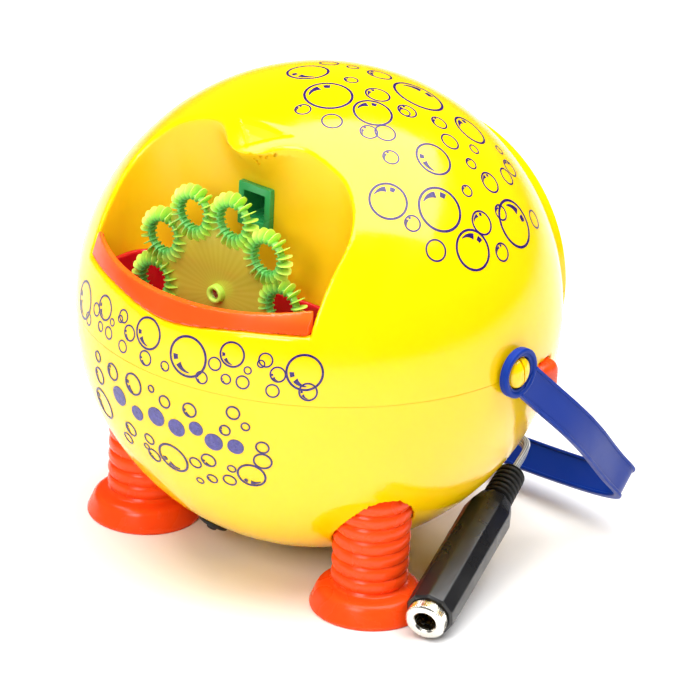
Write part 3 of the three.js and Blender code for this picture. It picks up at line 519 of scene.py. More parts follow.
def rounded_profile(corners, radius, steps=4):
    """An outline with every corner between its ends rounded: corners are (x, y) or (x, y, radius)."""
    made = [corners[0][:2]]
    for before, corner, after in zip(corners, corners[1:], corners[2:]):
        here = np.array(corner[:2], float)
        to_before, to_after = np.array(before[:2]) - here, np.array(after[:2]) - here
        reach = corner[2] if len(corner) > 2 else radius
        reach = min(reach, np.linalg.norm(to_before) * 0.49, np.linalg.norm(to_after) * 0.49)
        start = here + to_before / np.linalg.norm(to_before) * reach
        end = here + to_after / np.linalg.norm(to_after) * reach
        for i in range(steps + 1):
            t = i / steps
            made.append(tuple((1 - t) ** 2 * start + 2 * t * (1 - t) * here + t * t * end))
    made.append(corners[-1][:2])
    return made


def rounded_ring(corners, radius, steps):
    """A rounded outline whose first corner, on a straight side, closes it."""
    return rounded_profile([*corners, corners[0]], radius, steps)[:-1]


def rounded_square(half_x, half_y, corner, steps=6):
    """Corner arcs of a rounded rectangle, anticlockwise."""
    loop = []
    for quarter, (sx, sy) in enumerate([(1, 1), (-1, 1), (-1, -1), (1, -1)]):
        for i in range(steps + 1):
            x, y = polar(corner, math.pi / 2 * (quarter + i / steps))
            loop.append((sx * (half_x - corner) + x, sy * (half_y - corner) + y))
    return loop


# ---------- implicit shapes ----------
def smooth_min(a, b, k):
    """The lesser of two fields, blended where they are within k of each other."""
    h = np.maximum(k - np.abs(a - b), 0) / k
    return np.minimum(a, b) - h * h * k / 4


def smooth_max(a, b, k):
    return -smooth_min(-a, -b, k)


def surface_nets(field, low, high, step):
    """Points and quads on the zero level of field(x, y, z), between two corners."""
    ticks = [np.arange(a, b + step, step) for a, b in zip(low, high)]
    grid = np.meshgrid(*ticks, indexing="ij")
    values = field(*grid)
    inside = values < 0
    cells_shape = np.array(values.shape) - 1
    rings, marks = [], []
    for axis in range(3):
        across, beside = (axis + 1) % 3, (axis + 2) % 3
        near = [slice(None)] * 3
        far = [slice(None)] * 3
        near[axis], far[axis] = slice(None, -1), slice(1, None)
        crossing = inside[tuple(near)] != inside[tuple(far)]
        edges = np.argwhere(crossing)
        ok = (edges[:, across] > 0) & (edges[:, beside] > 0)
        ok &= (edges[:, across] < cells_shape[across]) & (edges[:, beside] < cells_shape[beside])
        edges = edges[ok]
        ends = edges.copy()
        ends[:, axis] += 1
        a, b = values[tuple(edges.T)], values[tuple(ends.T)]
        place = edges.astype(float)
        place[:, axis] += a / (a - b)
        ring = []
        for du, dv in ((0, 0), (1, 0), (1, 1), (0, 1)):
            cell = edges.copy()
            cell[:, across] -= du
            cell[:, beside] -= dv
            ring.append(np.ravel_multi_index(cell.T, cells_shape))
        ring = np.stack(ring, 1)
        ring[a > 0] = ring[a > 0][:, ::-1]
        rings.append(ring)
        marks.append(np.repeat(place, 4, axis=0))
    rings, marks = np.concatenate(rings), np.concatenate(marks)
    used, index = np.unique(rings, return_inverse=True)
    index = index.reshape(-1)
    sums = np.stack([np.bincount(index, marks[:, k], len(used)) for k in range(3)], 1)
    points = sums / np.bincount(index, minlength=len(used))[:, None]
    points = points * step + np.array([t[0] for t in ticks])
    return points, index.reshape(-1, 4)


def gradient(field, points, reach=0.05):
    slopes = []
    for axis in range(3):
        shift = np.zeros(3)
        shift[axis] = reach
        slopes.append(field(*(points + shift).T) - field(*(points - shift).T))
    return np.stack(slopes, 1) / (2 * reach)


def drawn_in(field, points, step):
    """Moves points onto the zero level."""
    for _ in range(4):
        slope = gradient(field, points)
        move = field(*points.T)[:, None] * slope / np.maximum((slope ** 2).sum(1), 0.05)[:, None]
        length = np.linalg.norm(move, axis=1)[:, None]
        points = points - move * np.minimum(1, 0.5 * step / np.maximum(length, 1e-9))
    return points


def values_of(items, name, kind=float, width=1):
    """One array of a value that every item of a mesh has."""
    values = np.empty(len(items) * width, kind)
    items.foreach_get(name, values)
    return values.reshape(-1, width) if width > 1 else values


def smooth_from_field(mesh, field):
    """Takes corner normals from the field, but from the face where a corner was cut or added."""
    places = values_of(mesh.vertices, "co", width=3) * 1000 - CENTRE
    normals = gradient(field, places)
    normals /= np.maximum(np.linalg.norm(normals, axis=1), 1e-9)[:, None]
    on_field = np.abs(field(*places.T)) < 0.05
    corner = values_of(mesh.loops, "vertex_index", int)
    sides = values_of(mesh.polygons, "loop_total", int)
    flat = np.repeat(values_of(mesh.polygons, "normal", width=3), sides, axis=0)
    wanted = normals[corner]
    agrees = (wanted * flat).sum(1) > 0.5
    wanted = np.where((on_field[corner] & agrees)[:, None], wanted, flat)
    mesh.normals_split_custom_set(wanted.tolist())


def implicit(name, field, low, high, step, cuts, material, extra=()):
    """An implicit surface cut flat by planes of (point, normal), whose normals follow its field."""
    points, quads = surface_nets(field, low, high, step)
    points = drawn_in(field, points, step)
    bm = to_bmesh([(points, quads.tolist())])
    for point, normal in cuts:
        geometry = bm.verts[:] + bm.edges[:] + bm.faces[:]
        made = bmesh.ops.bisect_plane(
            bm, geom=geometry, dist=0.001, plane_co=point, plane_no=normal, clear_outer=True)
        rim = [item for item in made["geom_cut"] if isinstance(item, bmesh.types.BMEdge)]
        bmesh.ops.triangle_fill(bm, use_beauty=True, edges=rim, normal=normal)
    loose = [v for v in bm.verts if not v.link_faces]
    bmesh.ops.delete(bm, geom=loose, context="VERTS")
    add_parts(bm, extra)
    obj = finish_mesh(name, bm, material, 70)
    smooth_from_field(obj.data, field)
    return obj


# ---------- housing ----------
def from_centre(x, y, z):
    return np.sqrt(x * x + y * y + z * z)


def past_corner(a, b):
    """Distance from a square corner, from the distances past its two sides."""
    return np.hypot(np.maximum(a, 0), np.maximum(b, 0)) + np.minimum(np.maximum(a, b), 0)


def chamber_plan(x, y, z, inset=0.0):
    """Distance from the bubble chamber's walls in plan, with the tongue's swelling at the back."""
    rise = np.clip((z - TONGUE_SPAN[0]) / (TONGUE_SPAN[1] - TONGUE_SPAN[0]), 0, 1) ** 2.4
    swelling = TONGUE_REACH * np.exp(-(x / TONGUE_WIDTH) ** 2) * rise
    beside = np.abs(x) - (CHAMBER_HALF - CHAMBER_CORNER)
    behind = y + swelling - (CHAMBER_BACK - CHAMBER_CORNER)
    return past_corner(beside, behind) - CHAMBER_CORNER + inset


def lip_bottom(x):
    """Height of the lower edge of the tray's lip, which dips in the middle."""
    return 21 - 3.5 * np.exp(-(x / 20) ** 2)


def lip_top(x):
    """Height of the lip's upper edge, which rises towards its ends."""
    return 24 + 4 * (np.abs(x) / 42) ** 2.5


DIMPLE = [(-10, -31), (10, -31), (0, -39)]  # its corners in plan


def dimple(x, y, z):
    """Three-sided hollow in the tongue: the depth grows inwards from each side."""
    inward = np.inf
    for (x0, y0), (x1, y1) in zip(DIMPLE, DIMPLE[1:] + DIMPLE[:1]):
        length = math.hypot(x1 - x0, y1 - y0)
        side = ((x - x0) * (y1 - y0) - (y - y0) * (x1 - x0)) / length
        inward = np.minimum(inward, side)
    depth = BALL - from_centre(x, y, z)
    return np.where(z > 0, (depth - np.minimum(2.6, inward * 1.1)) / 1.4, 50)


def in_rounded_square(a, b, half, corner):
    return past_corner(np.abs(a) - half + corner, np.abs(b) - half + corner) - corner


def housing_field(radius):
    plug_axis = np.array(PLUG_PLACE) / np.linalg.norm(PLUG_PLACE)

    def field(x, y, z):
        reach = from_centre(x, y, z)
        drum = np.maximum(np.hypot(x, z) - DRUM, 20 - y)
        body = smooth_min(reach - radius, drum, 3)
        low_edge = np.minimum(lip_bottom(x) - 0.3 - z, reach - TRAY_ROOM)
        opening = np.maximum(chamber_plan(x, y, z), np.maximum(low_edge, TRAY_ROOM_FLOOR - z))
        body = smooth_max(body, -opening, 1.6)
        body = smooth_max(body, -dimple(x, y, z), 1.3)
        for foot_x, foot_y in FEET.values():
            pocket = np.maximum(np.hypot(x - foot_x, y - foot_y) - POCKET, z - POCKET_ROOF)
            body = smooth_max(body, -pocket, 0.8)
        shell = smooth_max(body, -(body + WALL), 0.3)
        along = x * plug_axis[0] + y * plug_axis[1] + z * plug_axis[2]
        off_axis = np.sqrt(np.maximum(reach ** 2 - along ** 2, 0))
        through_back = np.abs(y - CHAMBER_BACK) - 5
        holes = [
            np.maximum(in_rounded_square(x, z - NOZZLE_Z, 5, 0.8), through_back),
            np.maximum(np.hypot(x, z - AXIS_Z) - SHAFT_HOLE, through_back),
            np.maximum(np.hypot(y, z - PIVOT_Z) - PIN_HOLE, 60 - np.abs(x)),
            np.maximum(in_rounded_square(y - BUTTON[1], z - BUTTON[2], BUTTON_HALF + 0.3, 2.4), 60 - x),
            np.maximum(off_axis - PLUG_HOLE, 60 - along),
            np.maximum(np.hypot(x - GLAND[0], z - GLAND[2]) - GLAND_ROOM, 50 - y),
        ]
        for hole in holes:
            shell = smooth_max(shell, -hole, 0.7)
        return shell

    return field


def rim_ring(upper):
    """Half of the ring round the drum's face, with the seat that the cover screws to."""
    inside, seat, seat_back = COVER + 0.3, 61, 59.4
    profile = rounded_profile(
        [(inside, DRUM_CUT + 0.5), (inside, DRUM_CUT), (DRUM, DRUM_CUT), (DRUM, DRUM_FACE, 0.9),
         (inside, DRUM_FACE, 0.5), (inside, seat), (SEAT_INNER, seat), (SEAT_INNER, seat_back),
         (inside, seat_back), (inside, DRUM_CUT - 0.3)],
        0.12, 3)
    sign = 1 if upper else -1
    slant = math.asin(PART_GAP / DRUM)
    loops = []
    for angle in slant + (math.pi - 2 * slant) * np.arange(73) / 72:
        c, s = math.cos(angle), math.sin(angle)
        loops.append([(r * c, y, sign * r * s) for r, y in profile])
    return loft(loops)


SHELL_STEP = 1.15


def housing_shell(name, upper):
    sign = 1 if upper else -1
    field = housing_field(BALL if upper else BALL - LOWER_INSET)
    z_span = (-1.2, 76.5) if upper else (-76.5, 1.2)
    cuts = [((0, 0, sign * PART_GAP), (0, 0, -sign)), ((0, DRUM_CUT, 0), (0, 1, 0))]
    obj = implicit(
        name + "_body", field, (-76.5, -76.5, z_span[0]), (76.5, 63, z_span[1]), SHELL_STEP,
        cuts, "yellow", [rim_ring(upper)])
    return settle(obj, "housing", name, slot="shell_yellow")


housing_shell("upper_shell", True)
housing_shell("lower_shell", False)


def seam_backing():
    """A thin band inside the equator, so that no dark shows through the parting line."""
    corners = [(72.5, -0.5), (74.7, -0.5), (74.7, 0.5), (72.5, 0.5)]
    loops = []
    for i in range(97):
        angle = math.radians(128 + 284 * i / 96)
        loops.append([(*polar(r, angle), z) for r, z in corners])
    return settle(build("seam_backing", [loft(loops)], "yellow"), "housing")


seam_backing()


# ---------- tray ----------
TRAY_STEP = 0.62


def tray_field(x, y, z):
    around = np.hypot(x, y)
    reach = from_centre(x, y, z)
    basin = np.maximum(chamber_plan(x, y, z * 0, 1.0), around - BASIN_OUTER)
    basin = np.maximum(basin, np.maximum(BASIN_FLOOR - z, z - lip_top(x)))
    lip = np.maximum(chamber_plan(x, y, z * 0, 0.45), reach - LIP_OUTER)
    lip = np.maximum(lip, np.maximum(lip_bottom(x) - z, z - lip_top(x)))
    lip = np.maximum(lip, np.maximum(y + 54, LIP_INNER - around))
    whole = smooth_min(basin, lip, 0.6)
    over_sides = np.maximum(LIP_END - y, SIDE_RIM - z)
    thin = 68.3 - 1.2 * np.clip((SIDE_RIM - z) / 6, 0, 1)
    well = np.maximum(chamber_plan(x, y, z * 0, 2.7), around - thin)
    well = smooth_max(well, -16.2 - z, 3)
    notch = np.maximum(np.abs(x) - 4, np.maximum(-y - 38, 13.7 - z))
    whole = smooth_max(whole, -well, 0.9)
    return smooth_max(whole, -np.minimum(over_sides, notch), 1.2)


tray = implicit(
    "solution_tray_body", tray_field, (-43.5, -76, -19.5), (43.5, -31, 29.5), TRAY_STEP, [], "tray")
settle(tray, "housing", "solution_tray", slot="tray_orange")


# ---------- bubble wheel ----------
RING_ROOT = 4.4
RING_TIP = 9.0
FINS = 20
FIN_DEPTH = 2.8
FIN_OUTLINE = (  # share of the way out, and share of the full depth
    (0, 0.5), (0.12, 0.74), (0.3, 0.92), (0.5, 1), (0.68, 0.9), (0.84, 0.62), (0.94, 0.38), (1, 0.14))
HUB_RADIUS = 2.8
WEB_RADIUS = 27.0
WEB_BORE = 2.6
WEB_NOTCH = 5.5  # cut back this far round each ring's middle
WEB_STEPS = 240
WEB_EDGE = ((0.5, 0.35), (0.98, 0.35), (1, 0.2))  # share of the outline, and half the thickness


def fin():
    """One leaf-shaped fin, standing out along +X, deep along Z and thin along Y."""
    edge = [(RING_ROOT + (RING_TIP - RING_ROOT) * t, FIN_DEPTH * depth) for t, depth in FIN_OUTLINE]
    rim = edge + [(r, -depth) for r, depth in reversed(edge)]
    middle = (RING_ROOT + RING_TIP) / 2
    loops = []
    for side, share in ((-1, 0.8), (-0.5, 1), (0.5, 1), (1, 0.8)):
        loop = []
        for r, depth in rim:
            thickness = 0.28 - 0.12 * (r - RING_ROOT) / (RING_TIP - RING_ROOT)
            loop.append((middle + (r - middle) * share, side * thickness, depth * share))
        loops.append(loop)
    return loft(loops)


def ring_places():
    for i in range(RINGS):
        angle = math.radians(FIRST_RING + 360 * i / RINGS)
        yield RING_PITCH * math.sin(angle), RING_PITCH * math.cos(angle), angle


def bubble_wheel():
    fin_points, fin_faces = fin()
    band = lathe(rounded_ring([(4.9, 0), (4.9, -1.3), (5.9, -1.3), (5.9, 1.3), (4.9, 1.3)], 0.4, 3), 48)
    parts = []
    for x, z, tilt in ring_places():
        middle = (x, WHEEL_Y, z + AXIS_Z)
        parts.append(placed(band, "y", middle))
        for k in range(FINS):
            turned = fin_points @ spun(tilt + 2 * math.pi * (k + 0.5) / FINS).T
            parts.append(placed((turned, fin_faces), "y", middle))
    hub = rounded_ring([(1.6, 0), (1.6, -2.6), (HUB_RADIUS, -2.6), (HUB_RADIUS, 4), (1.6, 4)], 0.6, 5)
    parts.append(placed(lathe(hub, 40), "y", (0, WHEEL_Y, AXIS_Z)))
    obj = build("bubble_wheel_rings", parts, "wheel", 50)
    # share of the way out along each fin, which mixes the painted shade at the root into the painted
    # highlight at the tip
    fin_highlight_shares = []
    for vertex in obj.data.vertices:
        x, _, z = np.array(vertex.co) * 1000 - CENTRE
        nearest = min(math.hypot(x - a, z - AXIS_Z - b) for a, b, _ in ring_places())
        fin_highlight_shares.append(min(1, max(0, (nearest - RING_ROOT - 0.5) / 2.6)))
    obj.data.attributes.new("fin_tip_highlight", "FLOAT", "POINT").data.foreach_set("value", fin_highlight_shares)
    return settle(obj, "wheel", "bubble_wheel", slot="wheel_lime")


def wheel_web():
    """The thin disc, scalloped where the rings sit on its edge."""
    outline, bore = [], []
    for angle in turns(WEB_STEPS):
        x, z = math.sin(angle), math.cos(angle)
        reach = WEB_RADIUS
        for cx, cz, _ in ring_places():
            along = x * cx + z * cz
            off = math.hypot(cx - along * x, cz - along * z)
            if along > 0 and off < WEB_NOTCH:
                reach = min(reach, along - math.sqrt(WEB_NOTCH ** 2 - off ** 2))
        outline.append((x * reach, z * reach))
        bore.append((x * WEB_BORE, z * WEB_BORE))
    front = [(bore, 1, 0.35)] + [(outline, share, half) for share, half in WEB_EDGE]
    rows = front + [(line, share, -half) for line, share, half in front[::-1]]
    loops = [[(x * share, WHEEL_Y + half, z * share + AXIS_Z) for x, z in line]
             for line, share, half in rows]
    obj = build("bubble_wheel_web", [loft(loops, closed=True)], "web", 12)
    return settle(obj, "wheel", "bubble_wheel", slot="wheel_lime")


bubble_wheel()
wheel_web()


# ---------- air nozzle ----------
def air_nozzle():
    back = CHAMBER_BACK
    sizes = [  # half width, half height, corner, place along Y
        (6.2, 6.9, 0.4, back - 0.1), (6.2, 6.9, 0.4, back - 1.9), (6.0, 6.7, 0.4, back - 2.2),
        (4.2, 4.6, 0.3, back - 2.2), (4.0, 4.3, 0.3, back - 1.9), (3.9, 3.9, 0.3, back + 24),
        (4.6, 4.6, 0.4, back + 24), (4.6, 4.6, 0.4, back - 0.1),
    ]
    loops = [[(x, y, z + NOZZLE_Z) for x, z in rounded_square(*size, 3)] for *size, y in sizes]
    piece("air_nozzle", [loft(loops, closed=True)], "green", 30, "nozzle_green")


air_nozzle()


# ---------- feet ----------
def foot_profile():
    """Flange with a soft shoulder, then a column of rounded ribs."""
    bottom, groove = -CENTRE[2], FOOT_COLUMN - 0.9
    profile = rounded_profile(
        [(0, bottom), (17.8, bottom), (18.1, bottom + 0.9), (15.6, bottom + 7.2, 2.0),
         (FOOT_COLUMN - 0.2, bottom + 7.9, 1.0), (groove, bottom + 9.0)], 0.5, 6)
    ribs, pitch, first = 7, 4.35, bottom + 9.0
    for i in range(ribs):
        for k in range(1, 9):
            t = k / 8
            swell = math.sin(math.pi * t) ** 0.6 if t < 1 else 0
            profile.append((groove + 0.9 * swell, first + (i + t) * pitch))
    top = POCKET_ROOF - 0.4
    profile += [(FOOT_COLUMN - 1, top - 0.6), (FOOT_COLUMN - 1.6, top), (0, top)]
    return profile


for foot, place in FEET.items():
    piece(foot, [placed(lathe(foot_profile(), 88), "z", (*place, 0))], "orange", 50, "foot_orange")


# ---------- carrying handle and its pins ----------
def strap_section():
    """Across the strap: raised rims along both edges of a thin middle."""
    half, rim, thin, edge = 5.2, 1.3, 0.75, 0.95
    inner = half - edge
    right = [(inner, thin), (inner, rim), (half, rim), (half, -rim), (inner, -rim), (inner, -thin)]
    return rounded_ring([(0, thin), *right, *[(-x, y) for x, y in right[::-1]]], 0.38, 3)


def handle_line():
    """Points of the strap's middle line, with its outward direction, in the handle's own plane."""
    start, bow = 5.6, HANDLE_REACH - HANDLE_STRAIGHT
    half = []
    for i in range(24):
        reach = start + (HANDLE_STRAIGHT - start) * i / 24
        bulge = HANDLE_BULGE * math.sin(math.pi * reach / HANDLE_STRAIGHT) ** 2
        half.append((HANDLE_SPAN + bulge, reach))
    for i in range(41):
        angle = math.pi / 2 * (i / 40) ** 0.8
        across = max(0, math.cos(angle)) ** BOW_SQUARENESS
        out = math.sin(angle) ** BOW_SQUARENESS
        half.append((HANDLE_SPAN * across, HANDLE_STRAIGHT + bow * out))
    line = np.array(half + [(-x, reach) for x, reach in reversed(half[:-1])])
    along = np.gradient(line, axis=0)
    along /= np.linalg.norm(along, axis=1)[:, None]
    return [(x, reach, ty, -tx) for (x, reach), (tx, ty) in zip(line, along)]


def carrying_handle():
    section = strap_section()
    drop = math.radians(HANDLE_DROP)
    outward = np.array([0, math.cos(drop), -math.sin(drop)])  # from the pivot towards the bow
    broad = np.array([0, math.sin(drop), math.cos(drop)])
    side = np.array([1, 0, 0])
    loops = []
    for x, reach, nx, ny in handle_line():
        place = (0, 0, PIVOT_Z) + side * x + outward * reach
        normal = side * nx + outward * ny
        loops.append([place + broad * across + normal * thick for across, thick in section])
    eye = rounded_ring(
        [(5.2, 0), (5.2, 0.55, 0.3), (6.1, 0.6, 0.25), (6.3, 1.15, 0.3), (7.0, 1.35, 0.5),
         (7.8, 1.1, 0.7), (7.8, -1.4, 0.5), (5.2, -1.4, 0.3)], 0.3, 4)
    eyes = []
    for sign in (1, -1):
        turned = lathe([(r, sign * along) for r, along in eye], 56)
        eyes.append(placed(turned, "x", (sign * HANDLE_SPAN, 0, PIVOT_Z)))
    piece("handle", [loft(loops), *eyes], "blue", 40, "handle_blue", "carry_handle")


def pin_lobe(side):
    """Half of a domed pin head with its stem, cut off straight beside the slot."""
    profile = rounded_profile(
        [(0, 66), (2.6, 66), (2.9, 67.5), (2.9, 75.4), (4.7, 75.8, 0.4), (4.85, 77.6, 1.6),
         (2.4, 79.2, 2), (0, 79.25)], 0.6, 6)
    points, faces = lathe(profile, 48)
    points[:, 0] = np.maximum(side * points[:, 0], PIN_HALF_SLOT) * side
    return points, faces


def handle_pin(name, direction):
    turn = AXES["x"] @ np.diag([direction, 1, direction]) @ spun(PIN_SLOT_LEAN)
    bm = to_bmesh([placed(pin_lobe(side), turn, (0, 0, PIVOT_Z)) for side in (-1, 1)])
    bmesh.ops.remove_doubles(bm, verts=bm.verts, dist=0.002)
    bmesh.ops.dissolve_degenerate(bm, edges=bm.edges, dist=0.002)
    return settle(finish_mesh(name + "_body", bm, "yellow", 45), "housing", name, slot="shell_yellow")


carrying_handle()
handle_pin("handle_pin_right", 1)
handle_pin("handle_pin_left", -1)


# ---------- power button ----------
def power_button():
    outer_x, y, z = BUTTON
    sizes = [(62, 5.15, 1.9), (outer_x - 4.5, 5.1, 2.0), (outer_x - 2.6, 5.0, 2.2),
             (outer_x - 1.3, 4.7, 2.4), (outer_x - 0.45, 4.1, 2.3), (outer_x - 0.1, 3.2, 1.9),
             (outer_x, 1.8, 1.2)]
    loops = [[(x, y + a, z + b) for a, b in rounded_square(half, half, corner)]
             for x, half, corner in sizes]
    piece("power_button", [loft(loops)], "orange", 60, "foot_orange", "button")


power_button()


# ---------- rear cover, door and screws ----------
def outline_curve(loops):
    """A filled flat curve from closed loops of (x, z): the outside first, then the holes."""
    data = bpy.data.curves.new("outline", "CURVE")
    data.dimensions, data.fill_mode = "2D", "BOTH"
    for loop in loops:
        spline = data.splines.new("POLY")
        spline.points.add(len(loop) - 1)
        for point, (x, z) in zip(spline.points, loop):
            point.co = (x, z, 0, 1)
        spline.use_cyclic_u = True
    return data


def plate(name, loops, y_back, y_front, bevel, material):
    """A plate with holes and soft edges, lying between two places along Y."""
    data = outline_curve(loops)
    data.offset = -bevel
    data.bevel_depth, data.bevel_resolution = bevel, 3
    data.extrude = (y_front - y_back) / 2 - bevel
    holder = bpy.data.objects.new("outline", data)
    scene.collection.objects.link(holder)
    bpy.context.view_layer.update()
    mesh = bpy.data.meshes.new_from_object(holder.evaluated_get(bpy.context.evaluated_depsgraph_get()))
    bpy.data.objects.remove(holder)
    bm = bmesh.new()
    bm.from_mesh(mesh)
    bmesh.ops.remove_doubles(bm, verts=bm.verts, dist=0.001)
    turn = Matrix(((1, 0, 0), (0, 0, -1), (0, 1, 0))).to_4x4()
    bm.transform(Matrix.Translation((0, (y_back + y_front) / 2, 0)) @ turn)
    return finish_mesh(name, bm, material, 35)


def circle(radius, x=0.0, z=0.0, steps=40):
    return [(x + radius * math.cos(angle), z + radius * math.sin(angle)) for angle in turns(steps)]


def slot_loop(x, z, half_width, half_height):
    return [(x + a, z + b) for a, b in rounded_square(half_width, half_height, half_width * 0.95)]


GRILLE_Z = 20.7
GRILLE_RADIUS = 17.5
SCREW_CIRCLE = 40.5
SCREW_ANGLES = (40, 140, 230, 310)


def screw_places():
    for angle in map(math.radians, SCREW_ANGLES):
        yield polar(SCREW_CIRCLE, angle)


def rear_cover():
    doorway = [(x, z + CELLS_Z) for x, z in rounded_square(16, 16, 2)]
    slots = [slot_loop(x, GRILLE_Z, 1.4, math.sqrt(GRILLE_RADIUS ** 2 - x ** 2))
             for x in range(-15, 16, 5)]
    holes = [circle(3.2, x, z, 24) for x, z in screw_places()]
    loops = [circle(COVER, steps=128), doorway, *slots, *holes, circle(3.1, GLAND[0], GLAND[2], 24)]
    obj = plate("rear_cover_body", loops, COVER_BACK, DRUM_FACE, 0.35, "yellow")
    settle(obj, "housing", "rear_cover", slot="shell_yellow")


def height_plate(half, step, y_back, height):
    """A square plate whose outer face is at y = height(x, z), and whose sides and back are flat."""
    ticks = np.linspace(-half, half, int(2 * half / step) + 1)
    n = len(ticks)
    front = [(x, height(x, z), z) for x in ticks for z in ticks]
    back = [(x, y_back, z) for x in ticks for z in ticks]
    faces = []
    for a in (i * n + k for i in range(n - 1) for k in range(n - 1)):
        quad = [a, a + n, a + n + 1, a + 1]
        faces += [quad, [q + n * n for q in reversed(quad)]]
    edge = [*range(0, n * n, n), *range(n * n - n + 1, n * n)]
    edge += [*range(n * n - n - 1, 0, -n), *range(n - 2, 0, -1)]
    faces += [[a, b, b + n * n, a + n * n] for a, b in zip(edge, edge[1:] + edge[:1])]
    return np.array(front + back), faces


def battery_door():
    def height(x, z):
        edge = min(DOOR_HALF - abs(x), DOOR_HALF - abs(z))
        soft = 0.5 * (1 - min(1, edge / 0.6)) ** 2
        grip = 1.3 * max(0.0, 1 - ((z + 11.2) / 2.6) ** 2) * max(0.0, 1 - (x / 8) ** 4)
        ribbed = abs(x) < 9 and -6.5 < z < 4.5
        ribs = 0.35 * max(0.0, math.cos((z + 1) * 2 * math.pi / 2.4)) if ribbed else 0
        return DRUM_FACE - 0.02 - soft - grip - ribs

    part = placed(height_plate(DOOR_HALF, 0.4, DRUM_FACE - 2, height), "z", (0, 0, CELLS_Z))
    piece("battery_door", [part], "yellow", 50, "shell_yellow", "door")


def cover_screw(name, x, z):
    """Domed head with a cross recess, and its shank."""
    rings, head = 14, 2.9
    profile = [(head * k / rings, -0.15 - 0.45 * (k / rings) ** 4) for k in range(rings, 0, -1)]
    shank = [(0, -7.6), (1.2, -7.2), (1.2, -1.1), (head, -1.0)]
    points, faces = lathe([*shank, *profile, (0, -1.1)], 48)
    across, along, depth = points.T
    arm = np.minimum(np.abs(across), np.abs(along))
    cross = np.clip((0.42 - arm) / 0.2, 0, 1) * np.clip((1.9 - np.hypot(across, along)) / 0.5, 0, 1)
    points[:, 2] -= np.where(depth > -0.7, 0.75 * cross, 0)
    piece(name, [placed((points, faces), "y", (x, DRUM_FACE, z))], "steel", 40, "steel")


rear_cover()
battery_door()
for number, (screw_x, screw_z) in enumerate(screw_places(), 1):
    cover_screw(f"cover_screw_{number}", screw_x, screw_z)


# ---------- drain plug and lead gland ----------
def drain_plug():
    normal = Vector(PLUG_PLACE).normalized()
    turn = np.array(Vector((0, 0, 1)).rotation_difference(normal).to_matrix())
    r = BALL + 0.4
    profile = rounded_profile(
        [(0, r - 4.5), (2.6, r - 4.5), (3.1, r - 3.5), (2.8, r - 2), (3.1, r - 0.1), (4.6, r - 0.1),
         (4.6, r + 1.2), (1.8, r + 1.5), (1.5, r + 2.5), (0, r + 2.6)], 0.5, 4)
    piece("drain_plug", [placed(lathe(profile, 48), turn)], "rubber", 50, "black_rubber")


def lead_gland():
    face = DRUM_FACE
    profile = rounded_profile(
        [(0, face - 4.8), (4.1, face - 4.8), (4.1, face - 2.7), (2.9, face - 2.6), (2.9, face + 0.2),
         (4.3, face + 0.3), (4.3, face + 1.4), (3.3, face + 1.7), (2.7, face + 3.5),
         (0, face + 3.5)], 0.45, 4)
    part = placed(lathe(profile, 40), "y", (GLAND[0], 0, GLAND[2]))
    piece("lead_gland", [part], "rubber", 50, "black_rubber")


drain_plug()
lead_gland()


# ---------- inline socket ----------
def socket_turn():
    yaw, pitch = math.radians(SOCKET_YAW), math.radians(SOCKET_PITCH)
    level = math.cos(pitch)
    along = np.array([-math.sin(yaw) * level, math.cos(yaw) * level, math.sin(pitch)])
    side = np.array([math.cos(yaw), math.sin(yaw), 0])
    return np.stack([side, np.cross(along, side), along], 1)


SOCKET_TURN = socket_turn()


def on_socket(name, part, material, slot, sharp_angle):
    return piece(name, [placed(part, SOCKET_TURN, SOCKET_FACE)], material, sharp_angle, slot)


def knurled_ring():
    def knurl(i, radius, along):
        return 1.03 if radius > 5.6 and along < 3.4 and i % 4 < 2 else 1

    profile = rounded_ring(
        [(3.3, 1.8), (3.3, 0.8), (3.8, 0.1, 0.2), (5.5, 0.1, 0.1), (6.1, 0.55, 0.1), (6.1, 3.3, 0.1),
         (5.9, 3.6, 0.1), (3.3, 3.6)], 0.15, 3)
    return on_socket("socket_ring", lathe(profile, KNURLS * 4, knurl), "nickel", "socket_nickel", 30)


def faceted_body():
    """Ten flat sides with narrow rounded corners, chamfered at both ends, open at the front."""
    flats = 10

    def loop(radius, along, round_share=0.2):
        points = []
        for corner in turns(flats):
            for k in (-1, -0.4, 0.4, 1):
                off = k * round_share * math.pi / flats
                reach = radius / math.cos(math.pi / flats - abs(off)) * (1 if abs(k) == 1 else 0.997)
                points.append((*polar(reach, corner + math.pi / flats + off), along))
        return points

    def round_loop(radius, along):
        first = math.pi / flats * (1 - 0.75)
        return [(*polar(radius, first + angle), along) for angle in turns(flats * 4)]

    flat_radius = SOCKET_BODY * math.cos(math.pi / flats)
    loops = [
        round_loop(4.9, 4.4), round_loop(6.4, 3.95), loop(flat_radius - 0.8, 3.95),
        loop(flat_radius - 0.15, 4.5), loop(flat_radius, 5.3), loop(flat_radius, 53),
        loop(flat_radius - 0.25, 54.2), loop(5.7, 59.3), loop(5.2, 59.9),
        round_loop(2.6, 60), round_loop(2.6, 36), round_loop(4.9, 36),
    ]
    return on_socket("socket_body", loft(loops, closed=True), "black", "socket_black", 14)


def ribbed_relief():
    profile = [(0, 52), (2.3, 52), (2.3, 60.3), (4.4, 60.3)]
    ribs, start, end = 6, 61.0, 74.2
    pitch = (end - start) / ribs
    for i in range(ribs):
        z = start + i * pitch
        taper = 0.06 * i
        profile += rounded_profile(
            [(3.7 - taper, z), (3.7 - taper, z + 0.5), (4.9 - taper, z + 0.75),
             (4.9 - taper, z + pitch - 0.35), (3.7 - taper, z + pitch - 0.1)], 0.3, 3)
    profile += rounded_profile([(4.0, end + 0.1), (4.6, end + 0.2), (4.3, 75), (0, 75)], 0.4, 3)
    return on_socket("socket_strain_relief", lathe(profile, 56), "rubber", "black_rubber", 40)


